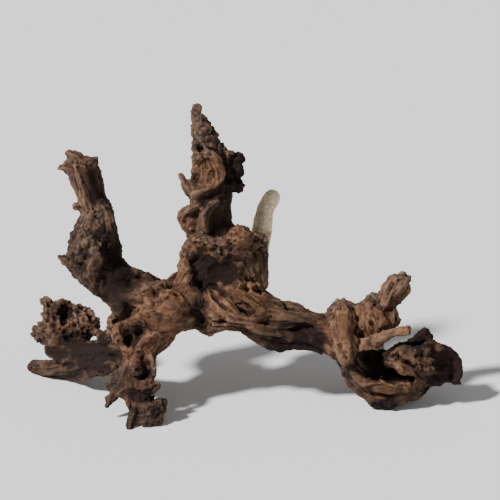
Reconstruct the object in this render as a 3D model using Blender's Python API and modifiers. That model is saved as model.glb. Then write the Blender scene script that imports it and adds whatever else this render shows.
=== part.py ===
"""A gnarled, branching piece of driftwood that stands on three low points of its own.

The wood grew as one piece, so it is one object and one solid: limbs of wound strands, knobs and
twigs are fused, hollows are carved out of them, and the feet are worn flat where they rest.
Run it with blender --background --python part.py, or from Blender's text editor.
"""

import math
from collections import namedtuple

import bmesh
import bpy
from mathutils import Matrix, Vector

MM = 0.001
WELD = 0.001 * MM

# Places are measured on a front view, VIEW_SIDE millimetres square: across from its left edge, down
# from its top edge, and depth away from the viewer. The view looks VIEW_TILT down at the wood from
# VIEW_DISTANCE away, so what lies deeper looks smaller.
VIEW_SIDE = 500
VIEW_DISTANCE = 1900
VIEW_TILT = math.radians(20)
# Where the middle of that view lies in the wood's own frame, whose origin is on the floor under the
# middle of the piece.
VIEW_MIDDLE = Vector((9.3, 22.5, 148.5))

# A wound limb is a core and strands: each is a share of the limb's radius, and a strand lies
# OFFSET_SHARE of it off the middle. Along its way a strand sways in angle and swells in girth.
CORE_SHARE = 0.8
STRAND_SHARE = 0.41
OFFSET_SHARE = 0.62
SWAY, SWAY_PHASE, SWAY_PER_M = 0.35, 3.1, 40
SWELL, SWELL_PHASE, SWELL_PER_M = 0.12, 5.3, 65
PATH_STEP = 5
DOME_ANGLES = (0.5, 1.0, 1.4)
BALL_SEGMENTS, BALL_RINGS = 20, 12

VOXEL = 2.2
RELIEF_SCALE = 11
RELIEF_HEIGHT = 3.0
TRIANGLE_SHARE = 0.097
FLOOR_SIDE, FLOOR_DEPTH = 800, 100

# A limb follows points of (across, down, depth, radius). Its strands wind round it, turns_per_m.
Limb = namedtuple("Limb", "strands turns_per_m points")
# A knob is a ball squashed to three radii: across, down the view, and in depth.
Knob = namedtuple("Knob", "across down depth radii")

LIMBS = {
    "left_horn": Limb(4, 3, [
        (84, 167, -22, 14.5), (84, 176, -20, 16.5), (88, 186, -18, 16), (91, 197, -16, 16),
        (96, 210, -14, 19.5), (98, 224, -12, 21), (94, 242, -8, 25), (95, 258, -4, 28),
        (105, 273, 0, 29), (123, 288, 2, 27), (150, 302, 0, 24)]),
    "shoulder": Limb(4, 4, [
        (124, 297, -8, 21), (150, 302, -14, 23), (172, 295, -14, 19), (186, 282, -10, 14),
        (190, 268, -8, 11), (191, 250, -12, 9)]),
    "belly": Limb(0, 0, [
        (126, 318, -6, 16), (145, 322, -12, 20), (170, 316, -16, 20), (190, 310, -8, 14)]),
    "hip": Limb(4, 4, [(160, 322, -10, 20), (150, 338, -14, 20), (139, 358, -18, 16)]),
    "trunk": Limb(0, 0, [
        (205, 305, 2, 20), (221, 286, 8, 26), (224, 262, 8, 28), (217, 240, 2, 24)]),
    "centre_horn": Limb(0, 0, [
        (212, 242, 0, 23), (208, 227, -4, 21.5), (209, 214, -8, 20), (210, 203, -8, 20.5),
        (210.5, 190, -8, 21), (210, 177, -12, 19), (208, 163, -16, 16.5), (204, 150, -20, 12.5),
        (203, 140, -25, 11), (201, 130, -28, 9), (198.5, 120, -31, 7), (197, 112, -32, 5.6),
        (196.5, 106, -33, 4)]),
    "slab": Limb(0, 0, [
        (258, 240, 6, 9), (256, 251, -2, 11), (257, 262, -6, 11), (259, 273, -8, 9),
        (260, 286, -8, 7)]),
    "paddle": Limb(4, 2, [
        (343, 306, -20, 7), (343, 316, -24, 12), (343, 328, -25, 15), (345, 341, -25, 14.5),
        (347, 353, -23, 11.5), (350, 366, -18, 6)]),
    "pale_stick": Limb(0, 0, [
        (272, 198, 36, 9), (268, 204, 36, 9), (264.5, 213, 34, 9), (262.5, 225, 32, 10),
        (260.5, 238, 30, 10.5), (257, 252, 28, 12), (251, 268, 24, 13.5), (244, 284, 18, 16),
        (236, 300, 8, 18)]),
    "right_limb": Limb(6, 4, [
        (212, 306, -16, 20), (234, 306, -14, 19), (258, 313, -12, 22), (276, 325, -10, 23),
        (298, 328, -10, 19), (316, 330, -10, 17.5), (334, 334, -12, 18)]),
    "claw_neck": Limb(4, 4, [
        (322, 330, -8, 17), (336, 344, -8, 16), (347, 358, -8, 12), (353, 370, -7, 12),
        (360, 381, -6, 12.5), (371, 388, -5, 13), (386, 392, -5, 14), (402, 391, -3, 12),
        (414, 389, 0, 11), (421, 380, 0, 9)]),
    "claw_mound": Limb(4, 3, [
        (337, 314, 0, 14), (352, 315, -4, 13), (368, 319, -8, 15), (384, 320, -8, 14)]),
    "claw_back": Limb(3, 3, [
        (368, 334, 12, 14), (368, 352, 20, 16), (376, 368, 22, 15), (388, 378, 32, 13)]),
    "claw_twig": Limb(3, 6, [
        (378, 317, -8, 14), (384, 305, -10, 13), (391, 294, -12, 13), (400, 283, -14, 12)]),
    "claw_stub": Limb(0, 0, [
        (352, 346, -20, 5), (366, 343, -26, 6), (380, 339, -30, 5), (393, 334, -30, 4),
        (402, 331.5, -30, 4.6), (407.5, 330.5, -30, 4.8)]),
    "claw_head": Limb(3, 4, [
        (390, 362, -8, 8), (405, 358, -6, 16), (420, 361, -4, 19), (438, 364, 2, 20),
        (449, 366, 5, 13)]),
    "left_root": Limb(4, 3, [
        (130, 356, -12, 14), (111, 363, 6, 14), (93, 365, 28, 14), (76, 368, 48, 13),
        (62, 369.5, 64, 12), (48, 368, 73, 10), (37, 367, 80, 8), (31, 366.5, 83, 6)]),
    "left_bough": Limb(3, 3, [
        (128, 347, -8, 15), (108, 352, 8, 14), (88, 354, 28, 13.5), (70, 352, 44, 13.5),
        (53, 346, 52, 12)]),
    "foot": Limb(3, 5, [
        (142, 352, -18, 16), (132, 370, -24, 14), (128, 384, -29, 12), (133, 396, -34, 9),
        (134, 408, -38, 7), (131, 419, -42, 6), (129, 429, -45, 5)]),
}

TWIGS = {
    "horn_tip": [(82, 163, -22, 9), (74, 157, -24, 7), (67.5, 153, -25, 3.5)],
    "horn_barb": [(72, 169, -20, 8), (65, 168, -22, 5), (59.5, 168, -23, 2.5)],
    "horn_barb_high": [(74, 166, -22, 6), (67, 163, -24, 3.5)],
    "horn_knob": [(92, 166, -24, 6), (95, 160, -25, 4.5)],
    "horn_wart": [(84, 206, -16, 5), (77, 207, -18, 4.5)],
    "horn_thorn": [(80, 270, -4, 10), (70, 262, -8, 6.5), (58, 255.5, -10, 2.2)],
    "horn_rib_left": [
        (77, 166, -33, 4), (81, 180, -33, 4.5), (85, 195, -32, 4.5), (89, 208, -31, 4)],
    "horn_fold": [(92, 216, -31, 5), (86, 228, -32, 5), (79, 240, -28, 5), (75, 252, -22, 5)],
    "horn_fold_low": [(101, 246, -33, 4), (94, 258, -34, 5), (92, 272, -30, 5), (94, 286, -24, 4)],
    "horn_back_left": [(90, 175, -2, 6), (98, 205, 2, 7), (106, 245, 14, 9), (120, 275, 24, 9)],
    "crest": [(204, 148, -20, 7), (211, 139, -18, 5.5), (212, 129, -16, 3)],
    "ear_spike": [(222, 152, -16, 4.5), (221, 144, -16, 2.5)],
    "cheek_spike": [(191, 193, -12, 5), (186, 184, -14, 4), (180, 173, -16, 2)],
    "brow": [
        (195, 158, -32, 4), (203, 153, -36, 4), (212, 156, -36, 4.5), (218, 164, -32, 4.5),
        (220, 176, -30, 4), (215, 187, -30, 4), (205, 193, -30, 4), (195, 196, -26, 5)],
    "cheek_lip": [(184, 215, -20, 6), (190, 208, -26, 5), (198, 205, -30, 4)],
    "cheek_ridge": [
        (217, 201, -30, 3.5), (210, 207, -31, 4), (204, 214, -30, 4.5), (203, 224, -28, 4.5),
        (203, 234, -26, 5)],
    "nape": [(204, 122, -20, 5), (214, 150, -4, 9), (222, 180, 6, 9), (222, 215, 12, 10),
             (228, 250, 26, 10), (232, 285, 32, 9)],
    "spine_fold": [(204, 175, 6, 8), (200, 205, 10, 8), (206, 240, 20, 9), (200, 280, 22, 9)],
    "top_ridge": [
        (262, 292, 2, 5), (280, 304, 4, 5.5), (295, 309, 4, 6.5), (312, 320, 0, 7),
        (330, 324, 0, 9)],
    "slab_edge": [(243, 257, -20, 1.6), (250, 269, -22, 1.9), (256, 280, -21, 1.8)],
    "plate_edge": [
        (222, 288, -28, 3), (236, 294, -31, 4.5), (250, 300, -32, 5), (264, 312, -33, 5.5),
        (282, 316, -30, 5), (300, 318, -28, 4.5), (325, 322, -22, 4.5)],
    "plate_low": [
        (207, 289, -32, 3), (212, 302, -36, 4), (224, 314, -38, 4.5), (240, 322, -38, 5),
        (258, 318, -37, 4), (266, 312, -35, 4)],
    "fibre_middle": [
        (224, 300, -36, 3.5), (240, 316, -38, 5), (262, 330, -36, 4.5), (284, 336, -32, 4),
        (308, 340, -28, 4), (330, 349, -24, 5)],
    "fibre_low": [
        (216, 324, -26, 5), (240, 328, -28, 5), (260, 339, -26, 5), (277, 345, -22, 6),
        (300, 346, -20, 4.5), (320, 350, -18, 5)],
    "under_lobe": [(224, 318, -12, 12), (208, 324, -10, 11.5)],
    "under_nub": [(204, 322, -8, 7), (194, 326, -6, 4)],
    "knot_rim": [
        (130, 322, -32, 3), (139, 320, -34, 3.5), (147, 326, -34, 3), (149, 336, -32, 3.5)],
    "boss_rim": [
        (156, 306, -34, 3.5), (161, 297, -38, 3.5), (170, 292, -38, 4), (180, 298, -34, 4),
        (184, 308, -30, 4)],
    "body_fold": [(141, 286, -28, 4), (146, 296, -34, 4), (154, 303, -36, 4)],
    "body_fibre_low": [
        (116, 342, -20, 4), (128, 352, -28, 5), (140, 346, -32, 5), (151, 336, -36, 5),
        (160, 333, -34, 4)],
    "block": [(365, 309, -14, 10), (368, 321, -18, 13), (370, 332, -16, 10)],
    "block_side": [(389, 312, -10, 9), (389, 321, -12, 10)],
    "hook": [(409, 348, -6, 6), (418, 339, -8, 5.5), (425, 332.5, -12, 5.5)],
    "hook_tip": [(424, 333, -12, 5), (431, 337, -12, 3.5)],
    "web": [(356, 346, -24, 4), (368, 349, -28, 5), (380, 346, -28, 4)],
    "lip": [(386, 360, -16, 4), (397, 366, -24, 5), (408, 373, -24, 5), (420, 379, -14, 7)],
    "head_lobe": [(388, 356, -14, 7), (398, 350, -18, 7), (406, 346, -14, 6)],
    "head_barb": [(444, 374, 4, 8), (453, 379, 2, 5), (461, 384, 2, 2.2)],
    "head_fold": [(400, 352, -20, 4), (411, 358, -25, 4.5), (420, 366, -25, 4)],
    "head_rim": [
        (434, 346, -14, 4), (445, 348, -13, 3.5), (454, 354, -10, 3), (460, 364, -8, 2.8),
        (460, 374, -6, 3), (455, 381, -4, 4)],
    "bowl_rib": [
        (352, 372, -18, 5), (362, 383, -20, 5), (376, 386, -22, 5), (394, 388, -18, 6),
        (412, 386, -12, 5)],
    "bowl_lump": [(384, 380, -20, 5), (398, 382, -20, 5), (416, 388, -6, 7)],
    "fin": [(371, 402.5, -4, 3), (380, 405, -4, 5.5), (390, 402, -4, 6.5), (399, 399, -3, 5)],
    "foot_twig": [(122, 380, -24, 8), (117, 389, -27, 6), (112, 398, -29, 4.5), (107, 408, -30, 2)],
    "foot_spur": [(116, 390, -28, 4), (110, 396, -30, 3), (106, 399, -31, 2)],
    "foot_thorn": [(118, 382, -22, 7), (111, 384, -24, 4.5), (103.5, 384, -25, 2)],
    "foot_bur": [(112, 384, -26, 3), (107, 387, -28, 2)],
    "foot_cross": [
        (120, 394, -34, 4), (129, 387, -39, 4), (140, 386, -42, 5), (150, 389, -42, 4.5),
        (158, 385.5, -40, 3.5)],
    "foot_loop": [
        (151, 356, -27, 4), (153.5, 366, -34, 4.2), (152, 376, -38, 4.2), (145, 383, -40, 4),
        (136, 387, -40, 4)],
}

KNOBS = {
    "bark_top": Knob(99, 210, -24, (11, 9, 9)),
    "bark_fold": Knob(92, 224, -26, (10, 9, 9)),
    "bark_middle": Knob(88, 242, -29, (12, 11, 9)),
    "bark_side": Knob(79, 252, -22, (10, 11, 9)),
    "bark_low": Knob(98, 258, -29, (9, 10, 8)),
    "bark_foot": Knob(92, 272, -26, (10, 11, 9)),
    "plate": Knob(118, 305, -22, (9, 14, 9)),
    "plate_side": Knob(113, 327, -12, (7, 12, 9)),
    "shoulder_left": Knob(145, 292, -30, (10, 9, 9)),
    "shoulder_middle": Knob(162, 288, -28, (10, 8, 9)),
    "shoulder_right": Knob(181, 287, -22, (10, 9, 9)),
    "wall_top": Knob(189, 253, -18, (9, 10, 11)),
    "wall_middle": Knob(187, 268, -18, (9, 9, 11)),
    "wall_low": Knob(186, 283, -20, (12, 10, 11)),
    "wall_foot": Knob(194, 298, -22, (11, 12, 11)),
    "left_cheek": Knob(189, 219, -14, (11, 12, 11)),
    "cheek_jaw": Knob(193, 230, -14, (9, 8, 9)),
    "crown_left": Knob(192, 247, -24, (10, 9, 11)),
    "crown_back": Knob(222, 265, -8, (37, 28, 23)),
    "crown_brow": Knob(222, 253, -22, (31, 9, 14)),
    "slab_face": Knob(256, 265, -11, (9, 14, 9)),
    "crown_near_left": Knob(198, 241, -30, (9.5, 7.5, 11)),
    "crown_middle": Knob(211, 243, -30, (9, 7, 11)),
    "crown_near_right": Knob(222, 243, -31, (8, 6.5, 10)),
    "crown_right": Knob(240, 237, -28, (13.5, 12, 14)),
    "crown_lip": Knob(238, 249, -20, (12, 6, 9)),
    "crown_bridge": Knob(252, 243, -14, (9, 7.5, 10)),
    "crown_knot": Knob(261, 245.5, -6, (6.5, 7.5, 9)),
    "temple": Knob(196, 134, -28, (5, 9, 6)),
    "brow_lump": Knob(219, 149, -16, (8, 6, 8)),
    "ear_arch": Knob(229, 155, -15, (8, 6, 8)),
    "ear_edge": Knob(237, 160, -12, (6, 8, 7)),
    "ear_side": Knob(239, 171, -12, (4.5, 9, 6)),
    "ear_root": Knob(226, 172, -12, (8, 13, 9)),
    "ear_patch": Knob(232, 184, -14, (6, 6, 7)),
    "ear_lobe": Knob(238, 187, -12, (5.5, 7, 6)),
    "body_boss": Knob(169, 309, -35, (13.5, 13, 12)),
    "body_plane": Knob(160, 330, -28, (17, 8, 9)),
    "body_side": Knob(107, 338, 0, (10, 9, 9)),
    "belly_nub": Knob(186, 322, -8, (8, 9, 8)),
    "knot_cheek": Knob(119, 334, -24, (7, 9, 8)),
    "limb_end": Knob(234, 286, -24, (11, 6, 10)),
    "limb_end_right": Knob(248, 288, -16, (9, 6, 9)),
    "twig_wart": Knob(371, 299, -10, (7, 7, 7)),
    "twig_end": Knob(403, 280, -14, (7.5, 7, 9)),
    "block_corner": Knob(395, 322, -10, (4.5, 5, 5)),
    "red_knob": Knob(426, 350, -20, (7, 7.5, 8)),
    "head_crumb": Knob(428, 366, -20, (11, 10, 10)),
    "head_crumb_high": Knob(413, 353, -20, (9, 7, 9)),
    "block_face": Knob(377, 320, -22, (12, 13, 9)),
    "paddle_high": Knob(343, 322, -29, (12, 15, 9)),
    "paddle_low": Knob(347, 345, -28, (11, 18, 8)),
    "hook_root": Knob(419, 347, -6, (9, 8, 8)),
    "hook_web": Knob(430, 345, -12, (7, 6, 8)),
    "head_chin": Knob(434, 378, 0, (12, 9, 10)),
    "claw_back_high": Knob(383, 360, 14, (10, 11, 9)),
    "claw_back_low": Knob(396, 376, 14, (16, 12, 10)),
    "claw_heel": Knob(388, 380, 40, (14, 13, 14)),
    "claw_web": Knob(372, 337, 2, (18, 9, 8)),
    "claw_web_left": Knob(357, 332, -4, (8, 14, 8)),
    "crust_body": Knob(66, 331, 54, (30, 15, 15)),
    "crust_left": Knob(44, 334, 62, (13, 10, 11)),
    "crust_right": Knob(82, 324, 50, (16, 16, 13)),
    "crust_end": Knob(92, 322, 48, (8, 9, 8)),
    "crust_tip": Knob(36, 332, 66, (6, 7, 7)),
    "crust_horn": Knob(45, 303, 62, (6, 6, 6)),
    "crust_neck": Knob(51, 316, 62, (10, 15, 10)),
    "crust_bowl": Knob(63, 311, 62, (14, 12.5, 12)),
    "crust_shoulder": Knob(80, 314, 54, (12, 10.5, 10)),
    "crust_fill": Knob(78, 341, 48, (13, 8, 10)),
    "crust_join": Knob(96, 331, 44, (6.5, 5, 7)),
    "foot_ankle": Knob(120, 381, -22, (9, 10, 9)),
    "foot_lobe": Knob(148, 411, -38, (11, 12, 10)),
    "foot_lobe_neck": Knob(144, 400, -36, (10, 8, 8)),
    "foot_lobe_side": Knob(160, 405, -38, (8, 7.5, 7)),
    "foot_lobe_heel": Knob(157, 419, -40, (7, 6.5, 5)),
    "foot_lobe_toe": Knob(148, 420, -41, (8, 5.5, 5)),
    "foot_ball": Knob(137, 369, -36, (7, 7, 8)),
    "foot_back": Knob(143, 373, -24, (9, 11, 8)),
}

HOLLOWS = {
    "crown_bowl": Knob(222, 275, -47, (29, 19, 24)),
    "knot": Knob(134, 333, -43, (11.5, 9.5, 16)),
    "knot_deep": Knob(138, 334, -34, (6, 5.5, 15)),
    "plate_dent": Knob(133, 311, -38, (7, 7, 14)),
    "boss_shadow": Knob(170, 324, -46, (13, 2.5, 12)),
    "cheek_hole": Knob(195, 179, -36, (5, 8, 20)),
    "cheek_bowl": Knob(209, 174, -44, (7.5, 12, 14)),
    "temple_pit": Knob(200, 148.5, -38, (4.5, 5.5, 12)),
    "throat": Knob(217, 222, -38, (8.5, 12, 15)),
    "jaw_pit": Knob(192, 220, -34, (5, 4.5, 10)),
    "ear_dent": Knob(232, 168, -28, (4, 9, 13)),
    "claw_mouth": Knob(370, 360, -20, (14, 13, 32)),
    "claw_gap": Knob(398, 379, -22, (18, 5, 20)),
    "head_cup": Knob(448, 364, -28, (13, 15, 20)),
    "crust_dent": Knob(64, 312, 43, (10, 12, 15)),
    "foot_eye": Knob(145.5, 371, -44, (3, 7.5, 13)),
    "foot_ring": Knob(138, 371, -44, (3, 3, 7)),
    "limb_eye": Knob(240, 306, -42, (3, 3.5, 8)),
}

GROOVES = {
    "horn_trough": [(94, 169, -43, 7), (96, 182, -44, 8.5), (99, 197, -42, 7), (101, 204, -42, 4)],
    "horn_flank": [(106, 232, -34, 6), (108, 250, -38, 8), (112, 270, -36, 9), (124, 290, -36, 6)],
    "band": [(186, 206, -34, 3), (198, 202, -38, 5), (212, 197, -38, 5.5), (228, 189, -30, 5)],
    "wall_crevice": [(201, 294, -40, 3), (200, 306, -41, 4), (199, 318, -36, 3)],
    "limb_top": [(254, 291, -18, 2.5), (264, 297, -18, 3), (272, 305, -18, 2.5)],
    "limb_hollow": [(278, 304, -17, 2.5), (286, 308, -19, 3.5), (296, 313, -17, 2.5)],
    "limb_furrow": [
        (268, 322, -36, 2.5), (284, 324, -36, 3.5), (300, 326, -33, 3.5), (322, 338, -32, 3)],
    "limb_furrow_low": [
        (272, 336, -34, 2.5), (290, 341, -32, 3.5), (306, 345, -28, 3), (320, 350, -26, 2)],
    "limb_crack": [(226, 306, -41, 2), (238, 318, -43, 2), (252, 326, -42, 2)],
    "bough_hollow": [(62, 357, 30, 5), (78, 359, 16, 7), (96, 358, -2, 7), (112, 358, -16, 5)],
    "paddle_side": [(358, 314, -36, 2.5), (359, 328, -36, 4), (358, 342, -36, 3)],
    "paddle_crack": [(341, 314, -38, 1.5), (347, 330, -41.5, 2), (350, 350, -36, 1.5)],
    "neck_groove": [(336, 352, -25, 2), (344, 370, -20, 2.5), (358, 390, -19, 2)],
    "foot_split": [(140, 394, -46, 3), (142, 402, -46, 3.5), (141, 412, -47, 2.5)],
}


def place(across, down, depth):
    """A place on the front view, as a point in the wood's own frame, in metres."""
    spread = 1 + depth / VIEW_DISTANCE
    right = (across - VIEW_SIDE / 2) * spread
    up = (VIEW_SIDE / 2 - down) * spread
    view_up = Vector((0, math.sin(VIEW_TILT), math.cos(VIEW_TILT)))
    away = Vector((0, math.cos(VIEW_TILT), -math.sin(VIEW_TILT)))
    return (VIEW_MIDDLE + Vector((right, 0, 0)) + view_up * up + away * depth) * MM


def smooth_path(points):
    """Points and radii along a smooth curve through a limb's own points, PATH_STEP apart."""
    places = [place(*p[:3]) for p in points]
    radii = [p[3] * MM for p in points]
    last = len(places) - 1
    path = []
    for i in range(last):
        before, after = max(i - 1, 0), min(i + 2, last)
        a, b = places[i], places[i + 1]
        lead = (b - places[before]) / 2
        trail = (places[after] - a) / 2
        steps = max(2, round((b - a).length / (PATH_STEP * MM)))
        for k in range(steps + (i == last - 1)):
            t = k / steps
            bend = (2 * t**3 - 3 * t**2 + 1) * a + (3 * t**2 - 2 * t**3) * b
            bend += (t**3 - 2 * t**2 + t) * lead + (t**3 - t**2) * trail
            path.append((bend, radii[i] + (radii[i + 1] - radii[i]) * t))
    return path


def strand_paths(limb, away):
    """The core of a limb and the strands that wind round it, each a list of points and radii."""
    spine = smooth_path(limb.points)
    if not limb.strands:
        return [spine]
    paths = [[(centre, radius * CORE_SHARE) for centre, radius in spine]]
    for n in range(limb.strands):
        strand, run = [], 0
        for i, (centre, radius) in enumerate(spine):
            ahead = spine[min(i + 1, len(spine) - 1)][0] - spine[max(i - 1, 0)][0]
            tangent = ahead.normalized()
            side = tangent.cross(away).normalized()
            front = side.cross(tangent)
            run += (centre - spine[max(i - 1, 0)][0]).length
            angle = math.tau * (n / limb.strands + limb.turns_per_m * run)
            angle += SWAY * math.sin(SWAY_PHASE * n + SWAY_PER_M * run)
            offset = (side * math.cos(angle) + front * math.sin(angle)) * radius * OFFSET_SHARE
            swell = 1 + SWELL * math.sin(SWELL_PHASE * n + SWELL_PER_M * run)
            girth = radius * STRAND_SHARE * swell
            strand.append((centre + offset, girth))
        paths.append(strand)
    return paths


def tube_mesh(paths):
    """One mesh of round tubes along the paths, made as a curve with a bevel and capped ends."""
    curve = bpy.data.curves.new("strands", "CURVE")
    curve.dimensions = "3D"
    curve.bevel_depth = 1
    curve.bevel_resolution = 2
    curve.use_fill_caps = True
    for path in paths:
        spline = curve.splines.new("POLY")
        spline.points.add(len(path) - 1)
        for point, (centre, radius) in zip(spline.points, path):
            point.co = (*centre, 1)
            point.radius = radius
    holder = bpy.data.objects.new("strands", curve)
    bpy.context.scene.collection.objects.link(holder)
    bpy.context.view_layer.update()
    graph = bpy.context.evaluated_depsgraph_get()
    mesh = bpy.data.meshes.new_from_object(holder.evaluated_get(graph))
    bpy.data.objects.remove(holder)
    return mesh


def add_ball(bm, knob):
    """A squashed ball with its axes along the front view's."""
    turn = Matrix.Rotation(-VIEW_TILT, 4, "X")
    across, down, deep = (r * MM for r in knob.radii)
    size = Matrix.Diagonal((across, deep, down, 1))
    where = Matrix.Translation(place(knob.across, knob.down, knob.depth))
    bmesh.ops.create_uvsphere(
        bm, u_segments=BALL_SEGMENTS, v_segments=BALL_RINGS, radius=1,
        matrix=where @ turn @ size)


def rounded(path):
    """The path with both ends drawn in to a dome, so that its tube doesn't end flat."""
    domes = []
    for (end, radius), (before, _) in ((path[0], path[1]), (path[-1], path[-2])):
        out = (end - before).normalized()
        domes.append([
            (end + out * radius * math.sin(angle), radius * math.cos(angle))
            for angle in DOME_ANGLES])
    return domes[0][::-1] + path + domes[1]


def raw_wood():
    """Every limb, twig and knob as one mesh of closed shapes that still lie through each other."""
    away = Vector((0, math.cos(VIEW_TILT), -math.sin(VIEW_TILT)))
    paths = [path for limb in LIMBS.values() for path in strand_paths(limb, away)]
    paths += [smooth_path(points) for points in TWIGS.values()]
    bm = bmesh.new()
    for knob in KNOBS.values():
        add_ball(bm, knob)
    bm.from_mesh(tube_mesh([rounded(path) for path in paths]))
    bmesh.ops.remove_doubles(bm, verts=bm.verts, dist=WELD)
    mesh = bpy.data.meshes.new("driftwood")
    bm.to_mesh(mesh)
    bm.free()
    return mesh


def hollow_cutters():
    """A collection of helpers: a ball for each hollow and a tube for each groove."""
    group = bpy.data.collections.new("cutters")
    bpy.context.scene.collection.children.link(group)
    for name, shape in {**HOLLOWS, **GROOVES}.items():
        bm = bmesh.new()
        if name in HOLLOWS:
            add_ball(bm, shape)
        else:
            bm.from_mesh(tube_mesh([rounded(smooth_path(shape))]))
            bmesh.ops.remove_doubles(bm, verts=bm.verts, dist=WELD)
        mesh = bpy.data.meshes.new(name)
        bm.to_mesh(mesh)
        bm.free()
        cutter = bpy.data.objects.new(name, mesh)
        cutter.hide_render = True
        cutter.display_type = "WIRE"
        group.objects.link(cutter)
    return group


def floor_cutter():
    """A helper block whose top is the floor: it wears the feet flat where they would sink into it."""
    bpy.ops.mesh.primitive_cube_add(size=1, location=(0, 0, -FLOOR_DEPTH * MM / 2))
    block = bpy.context.object
    block.name = "floor_cutter"
    block.scale = (FLOOR_SIDE * MM, FLOOR_SIDE * MM, FLOOR_DEPTH * MM)
    bpy.ops.object.transform_apply(location=True, scale=True)
    block.hide_render = True
    block.display_type = "WIRE"
    return block


def wood_material():
    """Weathered brown root wood: dull, matt and dark."""
    material = bpy.data.materials.new("driftwood")
    material.use_nodes = True
    shader = material.node_tree.nodes["Principled BSDF"]
    shader.inputs["Base Color"].default_value = (0.12, 0.07, 0.045, 1)
    shader.inputs["Roughness"].default_value = 0.85
    shader.inputs["Metallic"].default_value = 0
    return material


def add_modifiers(wood, cutters, floor):
    """Fuses the raw shapes, carves the hollows, raises the lumps and thins the mesh."""
    fuse = wood.modifiers.new("fuse", "REMESH")
    fuse.mode = "VOXEL"
    fuse.voxel_size = VOXEL * MM
    carve = wood.modifiers.new("carve", "BOOLEAN")
    carve.operation = "DIFFERENCE"
    carve.operand_type = "COLLECTION"
    carve.collection = cutters
    even = wood.modifiers.new("even", "REMESH")
    even.mode = "VOXEL"
    even.voxel_size = VOXEL * MM
    soften = wood.modifiers.new("soften", "SMOOTH")
    soften.factor = 0.5
    soften.iterations = 2
    lumps = bpy.data.textures.new("lumps", "CLOUDS")
    lumps.noise_scale = RELIEF_SCALE * MM
    lumps.noise_depth = 2
    relief = wood.modifiers.new("relief", "DISPLACE")
    relief.texture = lumps
    relief.texture_coords = "LOCAL"
    relief.strength = RELIEF_HEIGHT * MM
    relief.mid_level = 0.5
    thin = wood.modifiers.new("thin", "DECIMATE")
    thin.ratio = TRIANGLE_SHARE
    wear = wood.modifiers.new("wear", "BOOLEAN")
    wear.operation = "DIFFERENCE"
    wear.object = floor


def main():
    for obj in list(bpy.data.objects):
        bpy.data.objects.remove(obj)
    wood = bpy.data.objects.new("driftwood", raw_wood())
    group = bpy.data.collections.new("driftwood")
    bpy.context.scene.collection.children.link(group)
    group.objects.link(wood)
    wood.data.materials.append(wood_material())
    add_modifiers(wood, hollow_cutters(), floor_cutter())
    return wood


if __name__ == "__main__":
    main()
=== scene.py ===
# %% [markdown]
# # A piece of driftwood, dressed
#
# Driftwood is the root of a tree that water, sand and sun have worn for years. Its soft parts are
# gone, so what is left shows how the root grew: strands that wind round each other, knobs where
# twigs broke off, deep hollows, and fine fibres everywhere. This lesson builds that skin over the
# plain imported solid, with Geometry Nodes for the wound strands and the loose fibres, and with
# arrays for the weathering.

# %% The frame
import math
from collections import namedtuple

import bmesh
import bpy
import numpy as np
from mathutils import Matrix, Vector
from mathutils.kdtree import KDTree


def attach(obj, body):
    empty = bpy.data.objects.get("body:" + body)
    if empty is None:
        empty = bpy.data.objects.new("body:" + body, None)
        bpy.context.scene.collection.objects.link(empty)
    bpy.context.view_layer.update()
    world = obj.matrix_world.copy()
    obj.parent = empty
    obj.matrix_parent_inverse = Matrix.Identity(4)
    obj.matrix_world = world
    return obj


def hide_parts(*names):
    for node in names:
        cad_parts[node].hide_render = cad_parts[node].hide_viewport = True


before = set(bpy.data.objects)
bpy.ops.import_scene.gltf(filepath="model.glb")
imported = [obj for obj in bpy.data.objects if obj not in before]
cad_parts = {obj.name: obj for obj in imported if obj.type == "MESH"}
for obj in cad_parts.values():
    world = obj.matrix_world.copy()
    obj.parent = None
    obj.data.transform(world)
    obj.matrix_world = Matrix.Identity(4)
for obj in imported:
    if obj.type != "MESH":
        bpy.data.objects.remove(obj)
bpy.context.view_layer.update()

# %% [markdown]
# ## Where things are
#
# Every place is measured on a front view of the wood that is 500 mm square: millimetres across
# from its left edge, down from its top edge, and depth away from the viewer. The view looks 20
# degrees down from 1.9 m away, and the camera stands there too, so a place on the view is where
# the camera sees it. place() turns such a place into metres.

# %% The front view and its camera
MM = 0.001
VIEW_SIDE = 500
VIEW_DISTANCE = 1900
VIEW_TILT = math.radians(20)
VIEW_MIDDLE = Vector((9.3, 22.5, 148.5))
SENSOR_WIDTH = 36
CAMERA_REACH_M = 20

view_up = Vector((0, math.sin(VIEW_TILT), math.cos(VIEW_TILT)))
view_away = Vector((0, math.cos(VIEW_TILT), -math.sin(VIEW_TILT)))


def place(across, down, depth):
    """A place on the front view, as a point in metres."""
    spread = 1 + depth / VIEW_DISTANCE
    right = (across - VIEW_SIDE / 2) * spread
    up = (VIEW_SIDE / 2 - down) * spread
    return (VIEW_MIDDLE + Vector((right, 0, 0)) + view_up * up + view_away * depth) * MM


def new_object(name, data):
    """A new object in the scene."""
    thing = bpy.data.objects.new(name, data)
    bpy.context.scene.collection.objects.link(thing)
    return thing


def add_camera():
    """The camera at the front view's own distance and tilt."""
    data = bpy.data.cameras.new("camera")
    data.sensor_width = SENSOR_WIDTH
    data.lens = SENSOR_WIDTH * VIEW_DISTANCE / VIEW_SIDE
    data.clip_end = CAMERA_REACH_M
    camera = new_object("camera", data)
    camera.location = (VIEW_MIDDLE - view_away * VIEW_DISTANCE) * MM
    camera.rotation_euler = (math.pi / 2 - VIEW_TILT, 0, 0)
    bpy.context.scene.camera = camera
    return camera


camera = add_camera()
print("lens, mm:", round(camera.data.lens))

# %% [markdown]
# ## The limbs
#
# A limb of root wood isn't a plain tube: it is a bundle of strands that wind round a core. So each
# limb is written as a spine, a short list of (across, down, depth, radius) in millimetres, with the
# number of its strands and how many times they wind round it in a metre. A limb of no strands is a
# plain tube, as the worn stick is. Carving such a bundle by hand would take days, and a spine that
# is written down can still be moved.

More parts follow.
